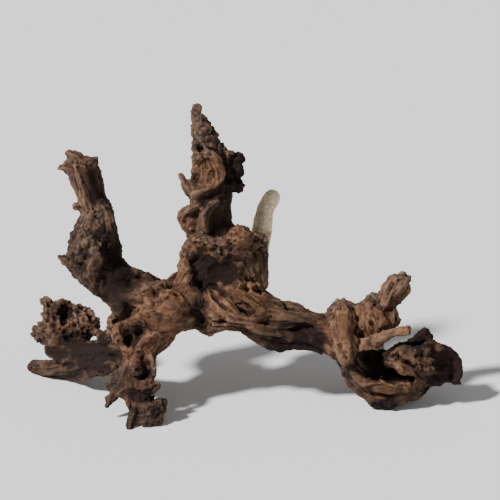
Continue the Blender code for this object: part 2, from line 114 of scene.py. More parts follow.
# %% The limbs' spines
Limb = namedtuple("Limb", "strands turns_per_m points")

LIMBS = {
    "left_horn": Limb(4, 3, [
        (84, 167, -22, 14.5), (84, 176, -20, 16.5), (88, 186, -18, 16), (91, 197, -16, 16),
        (96, 210, -14, 19.5), (98, 224, -12, 21), (94, 242, -8, 25), (95, 258, -4, 28),
        (105, 273, 0, 29), (123, 288, 2, 27), (150, 302, 0, 24)]),
    "shoulder": Limb(4, 4, [
        (124, 297, -8, 21), (150, 302, -14, 23), (172, 295, -14, 19), (186, 282, -10, 14),
        (190, 268, -8, 11), (191, 250, -12, 9)]),
    "belly": Limb(0, 0, [
        (126, 318, -6, 16), (145, 322, -12, 20), (170, 316, -16, 20), (190, 310, -8, 14)]),
    "hip": Limb(4, 4, [(160, 322, -10, 20), (150, 338, -14, 20), (139, 358, -18, 16)]),
    "trunk": Limb(0, 0, [
        (205, 305, 2, 20), (221, 286, 8, 26), (224, 262, 8, 28), (217, 240, 2, 24)]),
    "centre_horn": Limb(0, 0, [
        (212, 242, 0, 23), (208, 227, -4, 21.5), (209, 214, -8, 20), (210, 203, -8, 20.5),
        (210.5, 190, -8, 21), (210, 177, -12, 19), (208, 163, -16, 16.5), (204, 150, -20, 12.5),
        (203, 140, -25, 11), (201, 130, -28, 9), (198.5, 120, -31, 7), (197, 112, -32, 5.6),
        (196.5, 106, -33, 4)]),
    "slab": Limb(0, 0, [
        (258, 240, 6, 9), (256, 251, -2, 11), (257, 262, -6, 11), (259, 273, -8, 9),
        (260, 286, -8, 7)]),
    "paddle": Limb(4, 2, [
        (343, 306, -20, 7), (343, 316, -24, 12), (343, 328, -25, 15), (345, 341, -25, 14.5),
        (347, 353, -23, 11.5), (350, 366, -18, 6)]),
    "pale_stick": Limb(0, 0, [
        (272, 198, 36, 9), (268, 204, 36, 9), (264.5, 213, 34, 9), (262.5, 225, 32, 10),
        (260.5, 238, 30, 10.5), (257, 252, 28, 12), (251, 268, 24, 13.5), (244, 284, 18, 16),
        (236, 300, 8, 18)]),
    "right_limb": Limb(6, 4, [
        (212, 306, -16, 20), (234, 306, -14, 19), (258, 313, -12, 22), (276, 325, -10, 23),
        (298, 328, -10, 19), (316, 330, -10, 17.5), (334, 334, -12, 18)]),
    "claw_neck": Limb(4, 4, [
        (322, 330, -8, 17), (336, 344, -8, 16), (347, 358, -8, 12), (353, 370, -7, 12),
        (360, 381, -6, 12.5), (371, 388, -5, 13), (386, 392, -5, 14), (402, 391, -3, 12),
        (414, 389, 0, 11), (421, 380, 0, 9)]),
    "claw_mound": Limb(4, 3, [
        (337, 314, 0, 14), (352, 315, -4, 13), (368, 319, -8, 15), (384, 320, -8, 14)]),
    "claw_back": Limb(3, 3, [
        (368, 334, 12, 14), (368, 352, 20, 16), (376, 368, 22, 15), (388, 378, 32, 13)]),
    "claw_twig": Limb(3, 6, [
        (378, 317, -8, 14), (384, 305, -10, 13), (391, 294, -12, 13), (400, 283, -14, 12)]),
    "claw_stub": Limb(0, 0, [
        (352, 346, -20, 5), (366, 343, -26, 6), (380, 339, -30, 5), (393, 334, -30, 4),
        (402, 331.5, -30, 4.6), (407.5, 330.5, -30, 4.8)]),
    "claw_head": Limb(3, 4, [
        (390, 362, -8, 8), (405, 358, -6, 16), (420, 361, -4, 19), (438, 364, 2, 20),
        (449, 366, 5, 13)]),
    "left_root": Limb(4, 3, [
        (130, 356, -12, 14), (111, 363, 6, 14), (93, 365, 28, 14), (76, 368, 48, 13),
        (62, 369.5, 64, 12), (48, 368, 73, 10), (37, 367, 80, 8), (31, 366.5, 83, 6)]),
    "left_bough": Limb(3, 3, [
        (128, 347, -8, 15), (108, 352, 8, 14), (88, 354, 28, 13.5), (70, 352, 44, 13.5),
        (53, 346, 52, 12)]),
    "foot": Limb(3, 5, [
        (142, 352, -18, 16), (132, 370, -24, 14), (128, 384, -29, 12), (133, 396, -34, 9),
        (134, 408, -38, 7), (131, 419, -42, 6), (129, 429, -45, 5)]),
}

print(len(LIMBS), "limbs,", sum(limb.strands for limb in LIMBS.values()), "strands")

# %% [markdown]
# ## Twigs and ridges
#
# Twigs broke off short when the root tumbled in the water, and ridges stand where one strand lies
# proud of the others. Both are thin tubes that taper, so a spine alone describes each of them. They
# are named for their places, because each is one that the eye would miss.

# %% The twigs' and ridges' spines
TWIGS = {
    "horn_tip": [(82, 163, -22, 9), (74, 157, -24, 7), (67.5, 153, -25, 3.5)],
    "horn_barb": [(72, 169, -20, 8), (65, 168, -22, 5), (59.5, 168, -23, 2.5)],
    "horn_barb_high": [(74, 166, -22, 6), (67, 163, -24, 3.5)],
    "horn_knob": [(92, 166, -24, 6), (95, 160, -25, 4.5)],
    "horn_wart": [(84, 206, -16, 5), (77, 207, -18, 4.5)],
    "horn_thorn": [(80, 270, -4, 10), (70, 262, -8, 6.5), (58, 255.5, -10, 2.2)],
    "horn_rib_left": [
        (77, 166, -33, 4), (81, 180, -33, 4.5), (85, 195, -32, 4.5), (89, 208, -31, 4)],
    "horn_fold": [(92, 216, -31, 5), (86, 228, -32, 5), (79, 240, -28, 5), (75, 252, -22, 5)],
    "horn_fold_low": [(101, 246, -33, 4), (94, 258, -34, 5), (92, 272, -30, 5), (94, 286, -24, 4)],
    "horn_back_left": [(90, 175, -2, 6), (98, 205, 2, 7), (106, 245, 14, 9), (120, 275, 24, 9)],
    "crest": [(204, 148, -20, 7), (211, 139, -18, 5.5), (212, 129, -16, 3)],
    "ear_spike": [(222, 152, -16, 4.5), (221, 144, -16, 2.5)],
    "cheek_spike": [(191, 193, -12, 5), (186, 184, -14, 4), (180, 173, -16, 2)],
    "brow": [
        (195, 158, -32, 4), (203, 153, -36, 4), (212, 156, -36, 4.5), (218, 164, -32, 4.5),
        (220, 176, -30, 4), (215, 187, -30, 4), (205, 193, -30, 4), (195, 196, -26, 5)],
    "cheek_lip": [(184, 215, -20, 6), (190, 208, -26, 5), (198, 205, -30, 4)],
    "cheek_ridge": [
        (217, 201, -30, 3.5), (210, 207, -31, 4), (204, 214, -30, 4.5), (203, 224, -28, 4.5),
        (203, 234, -26, 5)],
    "nape": [(204, 122, -20, 5), (214, 150, -4, 9), (222, 180, 6, 9), (222, 215, 12, 10),
             (228, 250, 26, 10), (232, 285, 32, 9)],
    "spine_fold": [(204, 175, 6, 8), (200, 205, 10, 8), (206, 240, 20, 9), (200, 280, 22, 9)],
    "top_ridge": [
        (262, 292, 2, 5), (280, 304, 4, 5.5), (295, 309, 4, 6.5), (312, 320, 0, 7),
        (330, 324, 0, 9)],
    "slab_edge": [(243, 257, -20, 1.6), (250, 269, -22, 1.9), (256, 280, -21, 1.8)],
    "plate_edge": [
        (222, 288, -28, 3), (236, 294, -31, 4.5), (250, 300, -32, 5), (264, 312, -33, 5.5),
        (282, 316, -30, 5), (300, 318, -28, 4.5), (325, 322, -22, 4.5)],
    "plate_low": [
        (207, 289, -32, 3), (212, 302, -36, 4), (224, 314, -38, 4.5), (240, 322, -38, 5),
        (258, 318, -37, 4), (266, 312, -35, 4)],
    "fibre_middle": [
        (224, 300, -36, 3.5), (240, 316, -38, 5), (262, 330, -36, 4.5), (284, 336, -32, 4),
        (308, 340, -28, 4), (330, 349, -24, 5)],
    "fibre_low": [
        (216, 324, -26, 5), (240, 328, -28, 5), (260, 339, -26, 5), (277, 345, -22, 6),
        (300, 346, -20, 4.5), (320, 350, -18, 5)],
    "under_lobe": [(224, 318, -12, 12), (208, 324, -10, 11.5)],
    "under_nub": [(204, 322, -8, 7), (194, 326, -6, 4)],
    "knot_rim": [
        (130, 322, -32, 3), (139, 320, -34, 3.5), (147, 326, -34, 3), (149, 336, -32, 3.5)],
    "boss_rim": [
        (156, 306, -34, 3.5), (161, 297, -38, 3.5), (170, 292, -38, 4), (180, 298, -34, 4),
        (184, 308, -30, 4)],
    "body_fold": [(141, 286, -28, 4), (146, 296, -34, 4), (154, 303, -36, 4)],
    "body_fibre_low": [
        (116, 342, -20, 4), (128, 352, -28, 5), (140, 346, -32, 5), (151, 336, -36, 5),
        (160, 333, -34, 4)],
    "block": [(365, 309, -14, 10), (368, 321, -18, 13), (370, 332, -16, 10)],
    "block_side": [(389, 312, -10, 9), (389, 321, -12, 10)],
    "hook": [(409, 348, -6, 6), (418, 339, -8, 5.5), (425, 332.5, -12, 5.5)],
    "hook_tip": [(424, 333, -12, 5), (431, 337, -12, 3.5)],
    "web": [(356, 346, -24, 4), (368, 349, -28, 5), (380, 346, -28, 4)],
    "lip": [(386, 360, -16, 4), (397, 366, -24, 5), (408, 373, -24, 5), (420, 379, -14, 7)],
    "head_lobe": [(388, 356, -14, 7), (398, 350, -18, 7), (406, 346, -14, 6)],
    "head_barb": [(444, 374, 4, 8), (453, 379, 2, 5), (461, 384, 2, 2.2)],
    "head_fold": [(400, 352, -20, 4), (411, 358, -25, 4.5), (420, 366, -25, 4)],
    "head_rim": [
        (434, 346, -14, 4), (445, 348, -13, 3.5), (454, 354, -10, 3), (460, 364, -8, 2.8),
        (460, 374, -6, 3), (455, 381, -4, 4)],
    "bowl_rib": [
        (352, 372, -18, 5), (362, 383, -20, 5), (376, 386, -22, 5), (394, 388, -18, 6),
        (412, 386, -12, 5)],
    "bowl_lump": [(384, 380, -20, 5), (398, 382, -20, 5), (416, 388, -6, 7)],
    "fin": [(371, 402.5, -4, 3), (380, 405, -4, 5.5), (390, 402, -4, 6.5), (399, 399, -3, 5)],
    "foot_twig": [(122, 380, -24, 8), (117, 389, -27, 6), (112, 398, -29, 4.5), (107, 408, -30, 2)],
    "foot_spur": [(116, 390, -28, 4), (110, 396, -30, 3), (106, 399, -31, 2)],
    "foot_thorn": [(118, 382, -22, 7), (111, 384, -24, 4.5), (103.5, 384, -25, 2)],
    "foot_bur": [(112, 384, -26, 3), (107, 387, -28, 2)],
    "foot_cross": [
        (120, 394, -34, 4), (129, 387, -39, 4), (140, 386, -42, 5), (150, 389, -42, 4.5),
        (158, 385.5, -40, 3.5)],
    "foot_loop": [
        (151, 356, -27, 4), (153.5, 366, -34, 4.2), (152, 376, -38, 4.2), (145, 383, -40, 4),
        (136, 387, -40, 4)],
}

print(len(TWIGS), "twigs and ridges")

# %% [markdown]
# ## Knobs
#
# A knob is a healed stump or a lump of bark. Each is a ball squashed to three radii: across, down
# and in depth. Several that overlap make the crown, the porous head and the foot's rough lobe.

# %% The knobs' places and radii
Knob = namedtuple("Knob", "across down depth radii")

KNOBS = {
    "bark_top": Knob(99, 210, -24, (11, 9, 9)),
    "bark_fold": Knob(92, 224, -26, (10, 9, 9)),
    "bark_middle": Knob(88, 242, -29, (12, 11, 9)),
    "bark_side": Knob(79, 252, -22, (10, 11, 9)),
    "bark_low": Knob(98, 258, -29, (9, 10, 8)),
    "bark_foot": Knob(92, 272, -26, (10, 11, 9)),
    "plate": Knob(118, 305, -22, (9, 14, 9)),
    "plate_side": Knob(113, 327, -12, (7, 12, 9)),
    "shoulder_left": Knob(145, 292, -30, (10, 9, 9)),
    "shoulder_middle": Knob(162, 288, -28, (10, 8, 9)),
    "shoulder_right": Knob(181, 287, -22, (10, 9, 9)),
    "wall_top": Knob(189, 253, -18, (9, 10, 11)),
    "wall_middle": Knob(187, 268, -18, (9, 9, 11)),
    "wall_low": Knob(186, 283, -20, (12, 10, 11)),
    "wall_foot": Knob(194, 298, -22, (11, 12, 11)),
    "left_cheek": Knob(189, 219, -14, (11, 12, 11)),
    "cheek_jaw": Knob(193, 230, -14, (9, 8, 9)),
    "crown_left": Knob(192, 247, -24, (10, 9, 11)),
    "crown_back": Knob(222, 265, -8, (37, 28, 23)),
    "crown_brow": Knob(222, 253, -22, (31, 9, 14)),
    "slab_face": Knob(256, 265, -11, (9, 14, 9)),
    "crown_near_left": Knob(198, 241, -30, (9.5, 7.5, 11)),
    "crown_middle": Knob(211, 243, -30, (9, 7, 11)),
    "crown_near_right": Knob(222, 243, -31, (8, 6.5, 10)),
    "crown_right": Knob(240, 237, -28, (13.5, 12, 14)),
    "crown_lip": Knob(238, 249, -20, (12, 6, 9)),
    "crown_bridge": Knob(252, 243, -14, (9, 7.5, 10)),
    "crown_knot": Knob(261, 245.5, -6, (6.5, 7.5, 9)),
    "temple": Knob(196, 134, -28, (5, 9, 6)),
    "brow_lump": Knob(219, 149, -16, (8, 6, 8)),
    "ear_arch": Knob(229, 155, -15, (8, 6, 8)),
    "ear_edge": Knob(237, 160, -12, (6, 8, 7)),
    "ear_side": Knob(239, 171, -12, (4.5, 9, 6)),
    "ear_root": Knob(226, 172, -12, (8, 13, 9)),
    "ear_patch": Knob(232, 184, -14, (6, 6, 7)),
    "ear_lobe": Knob(238, 187, -12, (5.5, 7, 6)),
    "body_boss": Knob(169, 309, -35, (13.5, 13, 12)),
    "body_plane": Knob(160, 330, -28, (17, 8, 9)),
    "body_side": Knob(107, 338, 0, (10, 9, 9)),
    "belly_nub": Knob(186, 322, -8, (8, 9, 8)),
    "knot_cheek": Knob(119, 334, -24, (7, 9, 8)),
    "limb_end": Knob(234, 286, -24, (11, 6, 10)),
    "limb_end_right": Knob(248, 288, -16, (9, 6, 9)),
    "twig_wart": Knob(371, 299, -10, (7, 7, 7)),
    "twig_end": Knob(403, 280, -14, (7.5, 7, 9)),
    "block_corner": Knob(395, 322, -10, (4.5, 5, 5)),
    "red_knob": Knob(426, 350, -20, (7, 7.5, 8)),
    "head_crumb": Knob(428, 366, -20, (11, 10, 10)),
    "head_crumb_high": Knob(413, 353, -20, (9, 7, 9)),
    "block_face": Knob(377, 320, -22, (12, 13, 9)),
    "paddle_high": Knob(343, 322, -29, (12, 15, 9)),
    "paddle_low": Knob(347, 345, -28, (11, 18, 8)),
    "hook_root": Knob(419, 347, -6, (9, 8, 8)),
    "hook_web": Knob(430, 345, -12, (7, 6, 8)),
    "head_chin": Knob(434, 378, 0, (12, 9, 10)),
    "claw_back_high": Knob(383, 360, 14, (10, 11, 9)),
    "claw_back_low": Knob(396, 376, 14, (16, 12, 10)),
    "claw_heel": Knob(388, 380, 40, (14, 13, 14)),
    "claw_web": Knob(372, 337, 2, (18, 9, 8)),
    "claw_web_left": Knob(357, 332, -4, (8, 14, 8)),
    "crust_body": Knob(66, 331, 54, (30, 15, 15)),
    "crust_left": Knob(44, 334, 62, (13, 10, 11)),
    "crust_right": Knob(82, 324, 50, (16, 16, 13)),
    "crust_end": Knob(92, 322, 48, (8, 9, 8)),
    "crust_tip": Knob(36, 332, 66, (6, 7, 7)),
    "crust_horn": Knob(45, 303, 62, (6, 6, 6)),
    "crust_neck": Knob(51, 316, 62, (10, 15, 10)),
    "crust_bowl": Knob(63, 311, 62, (14, 12.5, 12)),
    "crust_shoulder": Knob(80, 314, 54, (12, 10.5, 10)),
    "crust_fill": Knob(78, 341, 48, (13, 8, 10)),
    "crust_join": Knob(96, 331, 44, (6.5, 5, 7)),
    "foot_ankle": Knob(120, 381, -22, (9, 10, 9)),
    "foot_lobe": Knob(148, 411, -38, (11, 12, 10)),
    "foot_lobe_neck": Knob(144, 400, -36, (10, 8, 8)),
    "foot_lobe_side": Knob(160, 405, -38, (8, 7.5, 7)),
    "foot_lobe_heel": Knob(157, 419, -40, (7, 6.5, 5)),
    "foot_lobe_toe": Knob(148, 420, -41, (8, 5.5, 5)),
    "foot_ball": Knob(137, 369, -36, (7, 7, 8)),
    "foot_back": Knob(143, 373, -24, (9, 11, 8)),
}

print(len(KNOBS), "knobs")

# %% [markdown]
# ## Hollows and grooves
#
# Rot and sand ate the soft wood first and left hollows, and grooves between the strands. A hollow
# is a squashed ball and a groove is a thin tube, written as the knobs and twigs are, but these are
# cut away.

# %% The hollows' places and the grooves' spines
HOLLOWS = {
    "crown_bowl": Knob(222, 275, -47, (29, 19, 24)),
    "knot": Knob(134, 333, -43, (11.5, 9.5, 16)),
    "knot_deep": Knob(138, 334, -34, (6, 5.5, 15)),
    "plate_dent": Knob(133, 311, -38, (7, 7, 14)),
    "boss_shadow": Knob(170, 324, -46, (13, 2.5, 12)),
    "cheek_hole": Knob(195, 179, -36, (5, 8, 20)),
    "cheek_bowl": Knob(209, 174, -44, (7.5, 12, 14)),
    "temple_pit": Knob(200, 148.5, -38, (4.5, 5.5, 12)),
    "throat": Knob(217, 222, -38, (8.5, 12, 15)),
    "jaw_pit": Knob(192, 220, -34, (5, 4.5, 10)),
    "ear_dent": Knob(232, 168, -28, (4, 9, 13)),
    "claw_mouth": Knob(370, 360, -20, (14, 13, 32)),
    "claw_gap": Knob(398, 379, -22, (18, 5, 20)),
    "head_cup": Knob(448, 364, -28, (13, 15, 20)),
    "crust_dent": Knob(64, 312, 43, (10, 12, 15)),
    "foot_eye": Knob(145.5, 371, -44, (3, 7.5, 13)),
    "foot_ring": Knob(138, 371, -44, (3, 3, 7)),
    "limb_eye": Knob(240, 306, -42, (3, 3.5, 8)),
}

GROOVES = {
    "horn_trough": [(94, 169, -43, 7), (96, 182, -44, 8.5), (99, 197, -42, 7), (101, 204, -42, 4)],
    "horn_flank": [(106, 232, -34, 6), (108, 250, -38, 8), (112, 270, -36, 9), (124, 290, -36, 6)],
    "band": [(186, 206, -34, 3), (198, 202, -38, 5), (212, 197, -38, 5.5), (228, 189, -30, 5)],
    "wall_crevice": [(201, 294, -40, 3), (200, 306, -41, 4), (199, 318, -36, 3)],
    "limb_top": [(254, 291, -18, 2.5), (264, 297, -18, 3), (272, 305, -18, 2.5)],
    "limb_hollow": [(278, 304, -17, 2.5), (286, 308, -19, 3.5), (296, 313, -17, 2.5)],
    "limb_furrow": [
        (268, 322, -36, 2.5), (284, 324, -36, 3.5), (300, 326, -33, 3.5), (322, 338, -32, 3)],
    "limb_furrow_low": [
        (272, 336, -34, 2.5), (290, 341, -32, 3.5), (306, 345, -28, 3), (320, 350, -26, 2)],
    "limb_crack": [(226, 306, -41, 2), (238, 318, -43, 2), (252, 326, -42, 2)],
    "bough_hollow": [(62, 357, 30, 5), (78, 359, 16, 7), (96, 358, -2, 7), (112, 358, -16, 5)],
    "paddle_side": [(358, 314, -36, 2.5), (359, 328, -36, 4), (358, 342, -36, 3)],
    "paddle_crack": [(341, 314, -38, 1.5), (347, 330, -41.5, 2), (350, 350, -36, 1.5)],
    "neck_groove": [(336, 352, -25, 2), (344, 370, -20, 2.5), (358, 390, -19, 2)],
    "foot_split": [(140, 394, -46, 3), (142, 402, -46, 3.5), (141, 412, -47, 2.5)],
}

print(len(HOLLOWS), "hollows,", len(GROOVES), "grooves")

# %% [markdown]
# ## Node trees
#
# The strands, the balls and the loose fibres each come from a Geometry Nodes tree. A tree can be
# drawn by hand in Blender's node editor, but a script says it more shortly: one small function adds
# a node, sets it and links its inputs, and one gives an object a tree as a modifier.

# %% A helper that adds a node
def add(tree, kind, feeds=None, **settings):
    """Adds a node; feeds holds a value, node or output socket for each input's name or number."""
    made = tree.nodes.new(kind)
    for name, value in settings.items():
        setattr(made, name, value)
    for key, value in (feeds or {}).items():
        if isinstance(value, bpy.types.Node):
            value = value.outputs[0]
        if isinstance(value, bpy.types.NodeSocket):
            tree.links.new(value, made.inputs[key])
        else:
            made.inputs[key].default_value = value
    return made


# %% Helpers for whole trees
SOCKET_KINDS = {int: "NodeSocketInt", float: "NodeSocketFloat", type(None): "NodeSocketMaterial"}


def start_tree(name, sizes):
    """A geometry tree with a geometry input, an input for each size, and one output."""
    tree = bpy.data.node_groups.new(name, "GeometryNodeTree")
    tree.interface.new_socket(name="Geometry", in_out="INPUT", socket_type="NodeSocketGeometry")
    for size, value in sizes.items():
        kind = SOCKET_KINDS[type(value)]
        tree.interface.new_socket(name=size, in_out="INPUT", socket_type=kind)
    tree.interface.new_socket(name="Geometry", in_out="OUTPUT", socket_type="NodeSocketGeometry")
    return tree, tree.nodes.new("NodeGroupInput")


def finish_tree(tree, entry, shape):
    """Ends a tree in Realize Instances and Set Material."""
    real = add(tree, "GeometryNodeRealizeInstances", {"Geometry": shape})
    coloured = add(
        tree, "GeometryNodeSetMaterial", {"Geometry": real, "Material": entry.outputs["Material"]})
    add(tree, "NodeGroupOutput", {"Geometry": coloured})


def wear_tree(thing, tree, sizes):
    """Puts a tree on an object as a modifier, with its inputs set by their identifiers."""
    worn = thing.modifiers.new(tree.name, "NODES")
    worn.node_group = tree
    for socket in tree.interface.items_tree:
        if socket.in_out == "INPUT" and socket.name in sizes:
            worn[socket.identifier] = sizes[socket.name]


# %% Helpers for meshes
def plain_mesh(thing):
    """The object's mesh with its modifiers worked in."""
    bpy.context.view_layer.update()
    graph = bpy.context.evaluated_depsgraph_get()
    return bpy.data.meshes.new_from_object(thing.evaluated_get(graph))


def store(mesh, label, numbers):
    """Keeps a value or a vector for each point of a mesh, under a label."""
    numbers = np.asarray(numbers, dtype=np.float32)
    kind, slot = ("FLOAT", "value") if numbers.ndim == 1 else ("FLOAT_VECTOR", "vector")
    mesh.attributes.new(label, kind, "POINT").data.foreach_set(slot, numbers.ravel())


def point_mesh(name, places, edges=(), **values):
    """A mesh of bare points or lines that carries numbers for each point."""
    mesh = bpy.data.meshes.new(name)
    mesh.from_pydata(places, edges, [])
    for label, numbers in values.items():
        store(mesh, label, numbers)
    return mesh


# %% [markdown]
# ## Wound strands
#
# A rope maker would lay strands round a core, and so does this tree. It turns the spines into
# smooth curves, makes a copy for each strand, and moves each copy off the spine by an angle that
# grows along it. Every strand keeps its own direction as an attribute called grain, because the
# weathering later follows it. Balls close the ends of the tubes. Nodes suit this well, because one
# rule makes every limb, and a change of one share changes them all.

# %% Sizes of a strand
# Core and strand are shares of the limb's radius, and a strand lies the offset share of it off the
# middle. Along its way a strand sways in angle and swells in girth, each at a phase of its own.
STRAND_SIZES = {
    "Step": 3.0 * MM, "Core Share": 0.8, "Strand Share": 0.41, "Offset Share": 0.62,
    "Sway": 0.35, "Sway Phase": 3.1, "Sway per Metre": 40.0,
    "Swell": 0.12, "Swell Phase": 5.3, "Swell per Metre": 65.0,
    "Sides": 12, "End Subdivisions": 3, "Material": None}
print("sizes of a strand:", STRAND_SIZES)


# %% A tree that winds strands round the spines
def strand_tree():
    """Spines in, tubes out: a core and its wound strands for each spine."""
    tree, entry = start_tree("wound strands", STRAND_SIZES)
    size = entry.outputs
    girth, strands, turns = [
        add(tree, "GeometryNodeInputNamedAttribute", {"Name": label}, data_type="FLOAT")
        for label in ("girth", "strands", "turns")]
    spine = add(tree, "GeometryNodeMeshToCurve", {"Mesh": size["Geometry"]})
    spine = add(tree, "GeometryNodeCurveSplineType", {"Curve": spine}, spline_type="CATMULL_ROM")
    spine = add(
        tree, "GeometryNodeResampleCurve", {"Curve": spine, "Length": size["Step"]}, mode="LENGTH")
    paths = add(tree, "ShaderNodeMath", {0: strands, 1: 1.0}, operation="ADD")
    copies = add(
        tree, "GeometryNodeDuplicateElements", {"Geometry": spine, "Amount": paths}, domain="SPLINE")
    number = copies.outputs["Duplicate Index"]
    along = add(tree, "GeometryNodeSplineParameter").outputs["Length"]

    # The first copy, number 0, stays on the spine as the core.
    is_strand = add(tree, "ShaderNodeMath", {0: number, 1: 0.5}, operation="GREATER_THAN")
    has_strands = add(tree, "ShaderNodeMath", {0: strands, 1: 0.5}, operation="GREATER_THAN")
    before = add(tree, "ShaderNodeMath", {0: number, 1: 1.0}, operation="SUBTRACT")
    count = add(tree, "ShaderNodeMath", {0: strands, 1: 1.0}, operation="MAXIMUM")
    share = add(tree, "ShaderNodeMath", {0: before, 1: count}, operation="DIVIDE")
    turned = add(tree, "ShaderNodeMath", {0: turns, 1: along, 2: share}, operation="MULTIPLY_ADD")
    angle = add(tree, "ShaderNodeMath", {0: turned, 1: math.tau}, operation="MULTIPLY")
    sway, swell = [
        add(tree, "ShaderNodeMath", {0: before, 1: size[f"{wave} Phase"]}, operation="MULTIPLY")
        for wave in ("Sway", "Swell")]
    sway = add(
        tree, "ShaderNodeMath", {0: along, 1: size["Sway per Metre"], 2: sway},
        operation="MULTIPLY_ADD")
    sway = add(tree, "ShaderNodeMath", {0: sway}, operation="SINE")
    angle = add(
        tree, "ShaderNodeMath", {0: sway, 1: size["Sway"], 2: angle}, operation="MULTIPLY_ADD")
    swell = add(
        tree, "ShaderNodeMath", {0: along, 1: size["Swell per Metre"], 2: swell},
        operation="MULTIPLY_ADD")
    swell = add(tree, "ShaderNodeMath", {0: swell}, operation="SINE")
    swell = add(
        tree, "ShaderNodeMath", {0: swell, 1: size["Swell"], 2: 1.0}, operation="MULTIPLY_ADD")

    # Across the strand's way, the side and front directions carry it round the core.
    tangent = add(tree, "GeometryNodeInputTangent")
    side = add(
        tree, "ShaderNodeVectorMath", {0: tangent, 1: tuple(view_away)}, operation="CROSS_PRODUCT")
    side = add(tree, "ShaderNodeVectorMath", {0: side}, operation="NORMALIZE")
    front = add(tree, "ShaderNodeVectorMath", {0: side, 1: tangent}, operation="CROSS_PRODUCT")
    reach = add(
        tree, "ShaderNodeMath", {0: girth, 1: size["Offset Share"]}, operation="MULTIPLY")
    reach = add(tree, "ShaderNodeMath", {0: reach, 1: is_strand}, operation="MULTIPLY")
    cosine = add(tree, "ShaderNodeMath", {0: angle}, operation="COSINE")
    sine = add(tree, "ShaderNodeMath", {0: angle}, operation="SINE")
    side = add(tree, "ShaderNodeVectorMath", {0: side, "Scale": cosine}, operation="SCALE")
    front = add(tree, "ShaderNodeVectorMath", {0: front, "Scale": sine}, operation="SCALE")
    offset = add(tree, "ShaderNodeVectorMath", {0: side, 1: front}, operation="ADD")
    offset = add(tree, "ShaderNodeVectorMath", {0: offset, "Scale": reach}, operation="SCALE")

    # The tube's own radius: the core's, the strand's, or a plain tube's whole girth.
    wound = add(
        tree, "ShaderNodeMath", {0: swell, 1: size["Strand Share"]}, operation="MULTIPLY")
    core = add(
        tree, "ShaderNodeMix", {0: has_strands, 2: 1.0, 3: size["Core Share"]}, data_type="FLOAT")
    thick = add(tree, "ShaderNodeMix", {0: is_strand, 2: core, 3: wound}, data_type="FLOAT")
    radius = add(tree, "ShaderNodeMath", {0: thick, 1: girth}, operation="MULTIPLY")
    sized = add(
        tree, "GeometryNodeStoreNamedAttribute",
        {"Geometry": copies, "Name": "tube_radius", "Value": radius}, data_type="FLOAT")
    moved = add(tree, "GeometryNodeSetPosition", {"Geometry": sized, "Offset": offset})
    way = add(tree, "GeometryNodeInputTangent")
    grained = add(
        tree, "GeometryNodeStoreNamedAttribute",
        {"Geometry": moved, "Name": "grain", "Value": way}, data_type="FLOAT_VECTOR")
    radius = add(
        tree, "GeometryNodeInputNamedAttribute", {"Name": "tube_radius"}, data_type="FLOAT")
    ring = add(
        tree, "GeometryNodeCurvePrimitiveCircle", {"Resolution": size["Sides"], "Radius": 1.0})
    tubes = add(
        tree, "GeometryNodeCurveToMesh",
        {"Curve": grained, "Profile Curve": ring, "Scale": radius, "Fill Caps": True})
    ends = add(tree, "GeometryNodeCurveEndpointSelection")
    ball = add(
        tree, "GeometryNodeMeshIcoSphere",
        {"Radius": 1.0, "Subdivisions": size["End Subdivisions"]})
    domes = add(
        tree, "GeometryNodeInstanceOnPoints",
        {"Points": grained, "Selection": ends, "Instance": ball, "Scale": radius})
    both = tree.nodes.new("GeometryNodeJoinGeometry")
    for part in (tubes, domes):
        tree.links.new(part.outputs[0], both.inputs[0])
    finish_tree(tree, entry, both)
    return tree


# %% The strands
def plain_limbs(table):
    """Each list of points as a limb without strands, a plain tube."""
    return [Limb(0, 0, points) for points in table.values()]


def spine_lines(limbs):
    """Spines as lines of points that carry girth, strands and turns."""
    places, edges, girth, strands, turns = [], [], [], [], []
    for limb in limbs:
        edges += [(len(places) + i, len(places) + i + 1) for i in range(len(limb.points) - 1)]
        places += [place(*point[:3]) for point in limb.points]
        girth += [point[3] * MM for point in limb.points]
        strands += [limb.strands] * len(limb.points)
        turns += [limb.turns_per_m] * len(limb.points)
    return point_mesh("spines", places, edges, girth=girth, strands=strands, turns=turns)


raw_material = bpy.data.materials.new("raw")
spines = new_object("spines", spine_lines(list(LIMBS.values()) + plain_limbs(TWIGS)))
furrows = new_object("furrows", spine_lines(plain_limbs(GROOVES)))
winding = strand_tree()
for thing in (spines, furrows):
    wear_tree(thing, winding, {**STRAND_SIZES, "Material": raw_material})
strand_mesh = plain_mesh(spines)
furrow_mesh = plain_mesh(furrows)
print("strands:", len(strand_mesh.polygons), "faces,", list(strand_mesh.attributes.keys()))

# %% [markdown]
# ## Balls for knobs and hollows
#
# A second tree puts a squashed ball on each of a mesh's points. It serves the knobs that are added
# and the hollows that are cut away. A ball's own axes are turned with the front view, so that its
# radii lie across, down and in depth as they are written.

# %% A tree that puts a squashed ball on each point
BALL_SIZES = {"Subdivisions": 4, "Material": None}


def ball_tree():
    """Points in, squashed balls out."""
    tree, entry = start_tree("squashed balls", BALL_SIZES)
    radii = add(
        tree, "GeometryNodeInputNamedAttribute", {"Name": "radii"}, data_type="FLOAT_VECTOR")
    points = add(tree, "GeometryNodeMeshToPoints", {"Mesh": entry.outputs["Geometry"]})
    ball = add(
        tree, "GeometryNodeMeshIcoSphere",
        {"Radius": 1.0, "Subdivisions": entry.outputs["Subdivisions"]})
    balls = add(
        tree, "GeometryNodeInstanceOnPoints",
        {"Points": points, "Instance": ball, "Rotation": (-VIEW_TILT, 0, 0), "Scale": radii})
    finish_tree(tree, entry, balls)
    return tree


def knob_points(name, knobs):
    """Points that carry the three radii of their balls."""
    places = [place(knob.across, knob.down, knob.depth) for knob in knobs.values()]
    # The ball's own axes run across, in depth and upwards.
    radii = [
        (knob.radii[0] * MM, knob.radii[2] * MM, knob.radii[1] * MM) for knob in knobs.values()]
    return point_mesh(name, places, radii=radii)


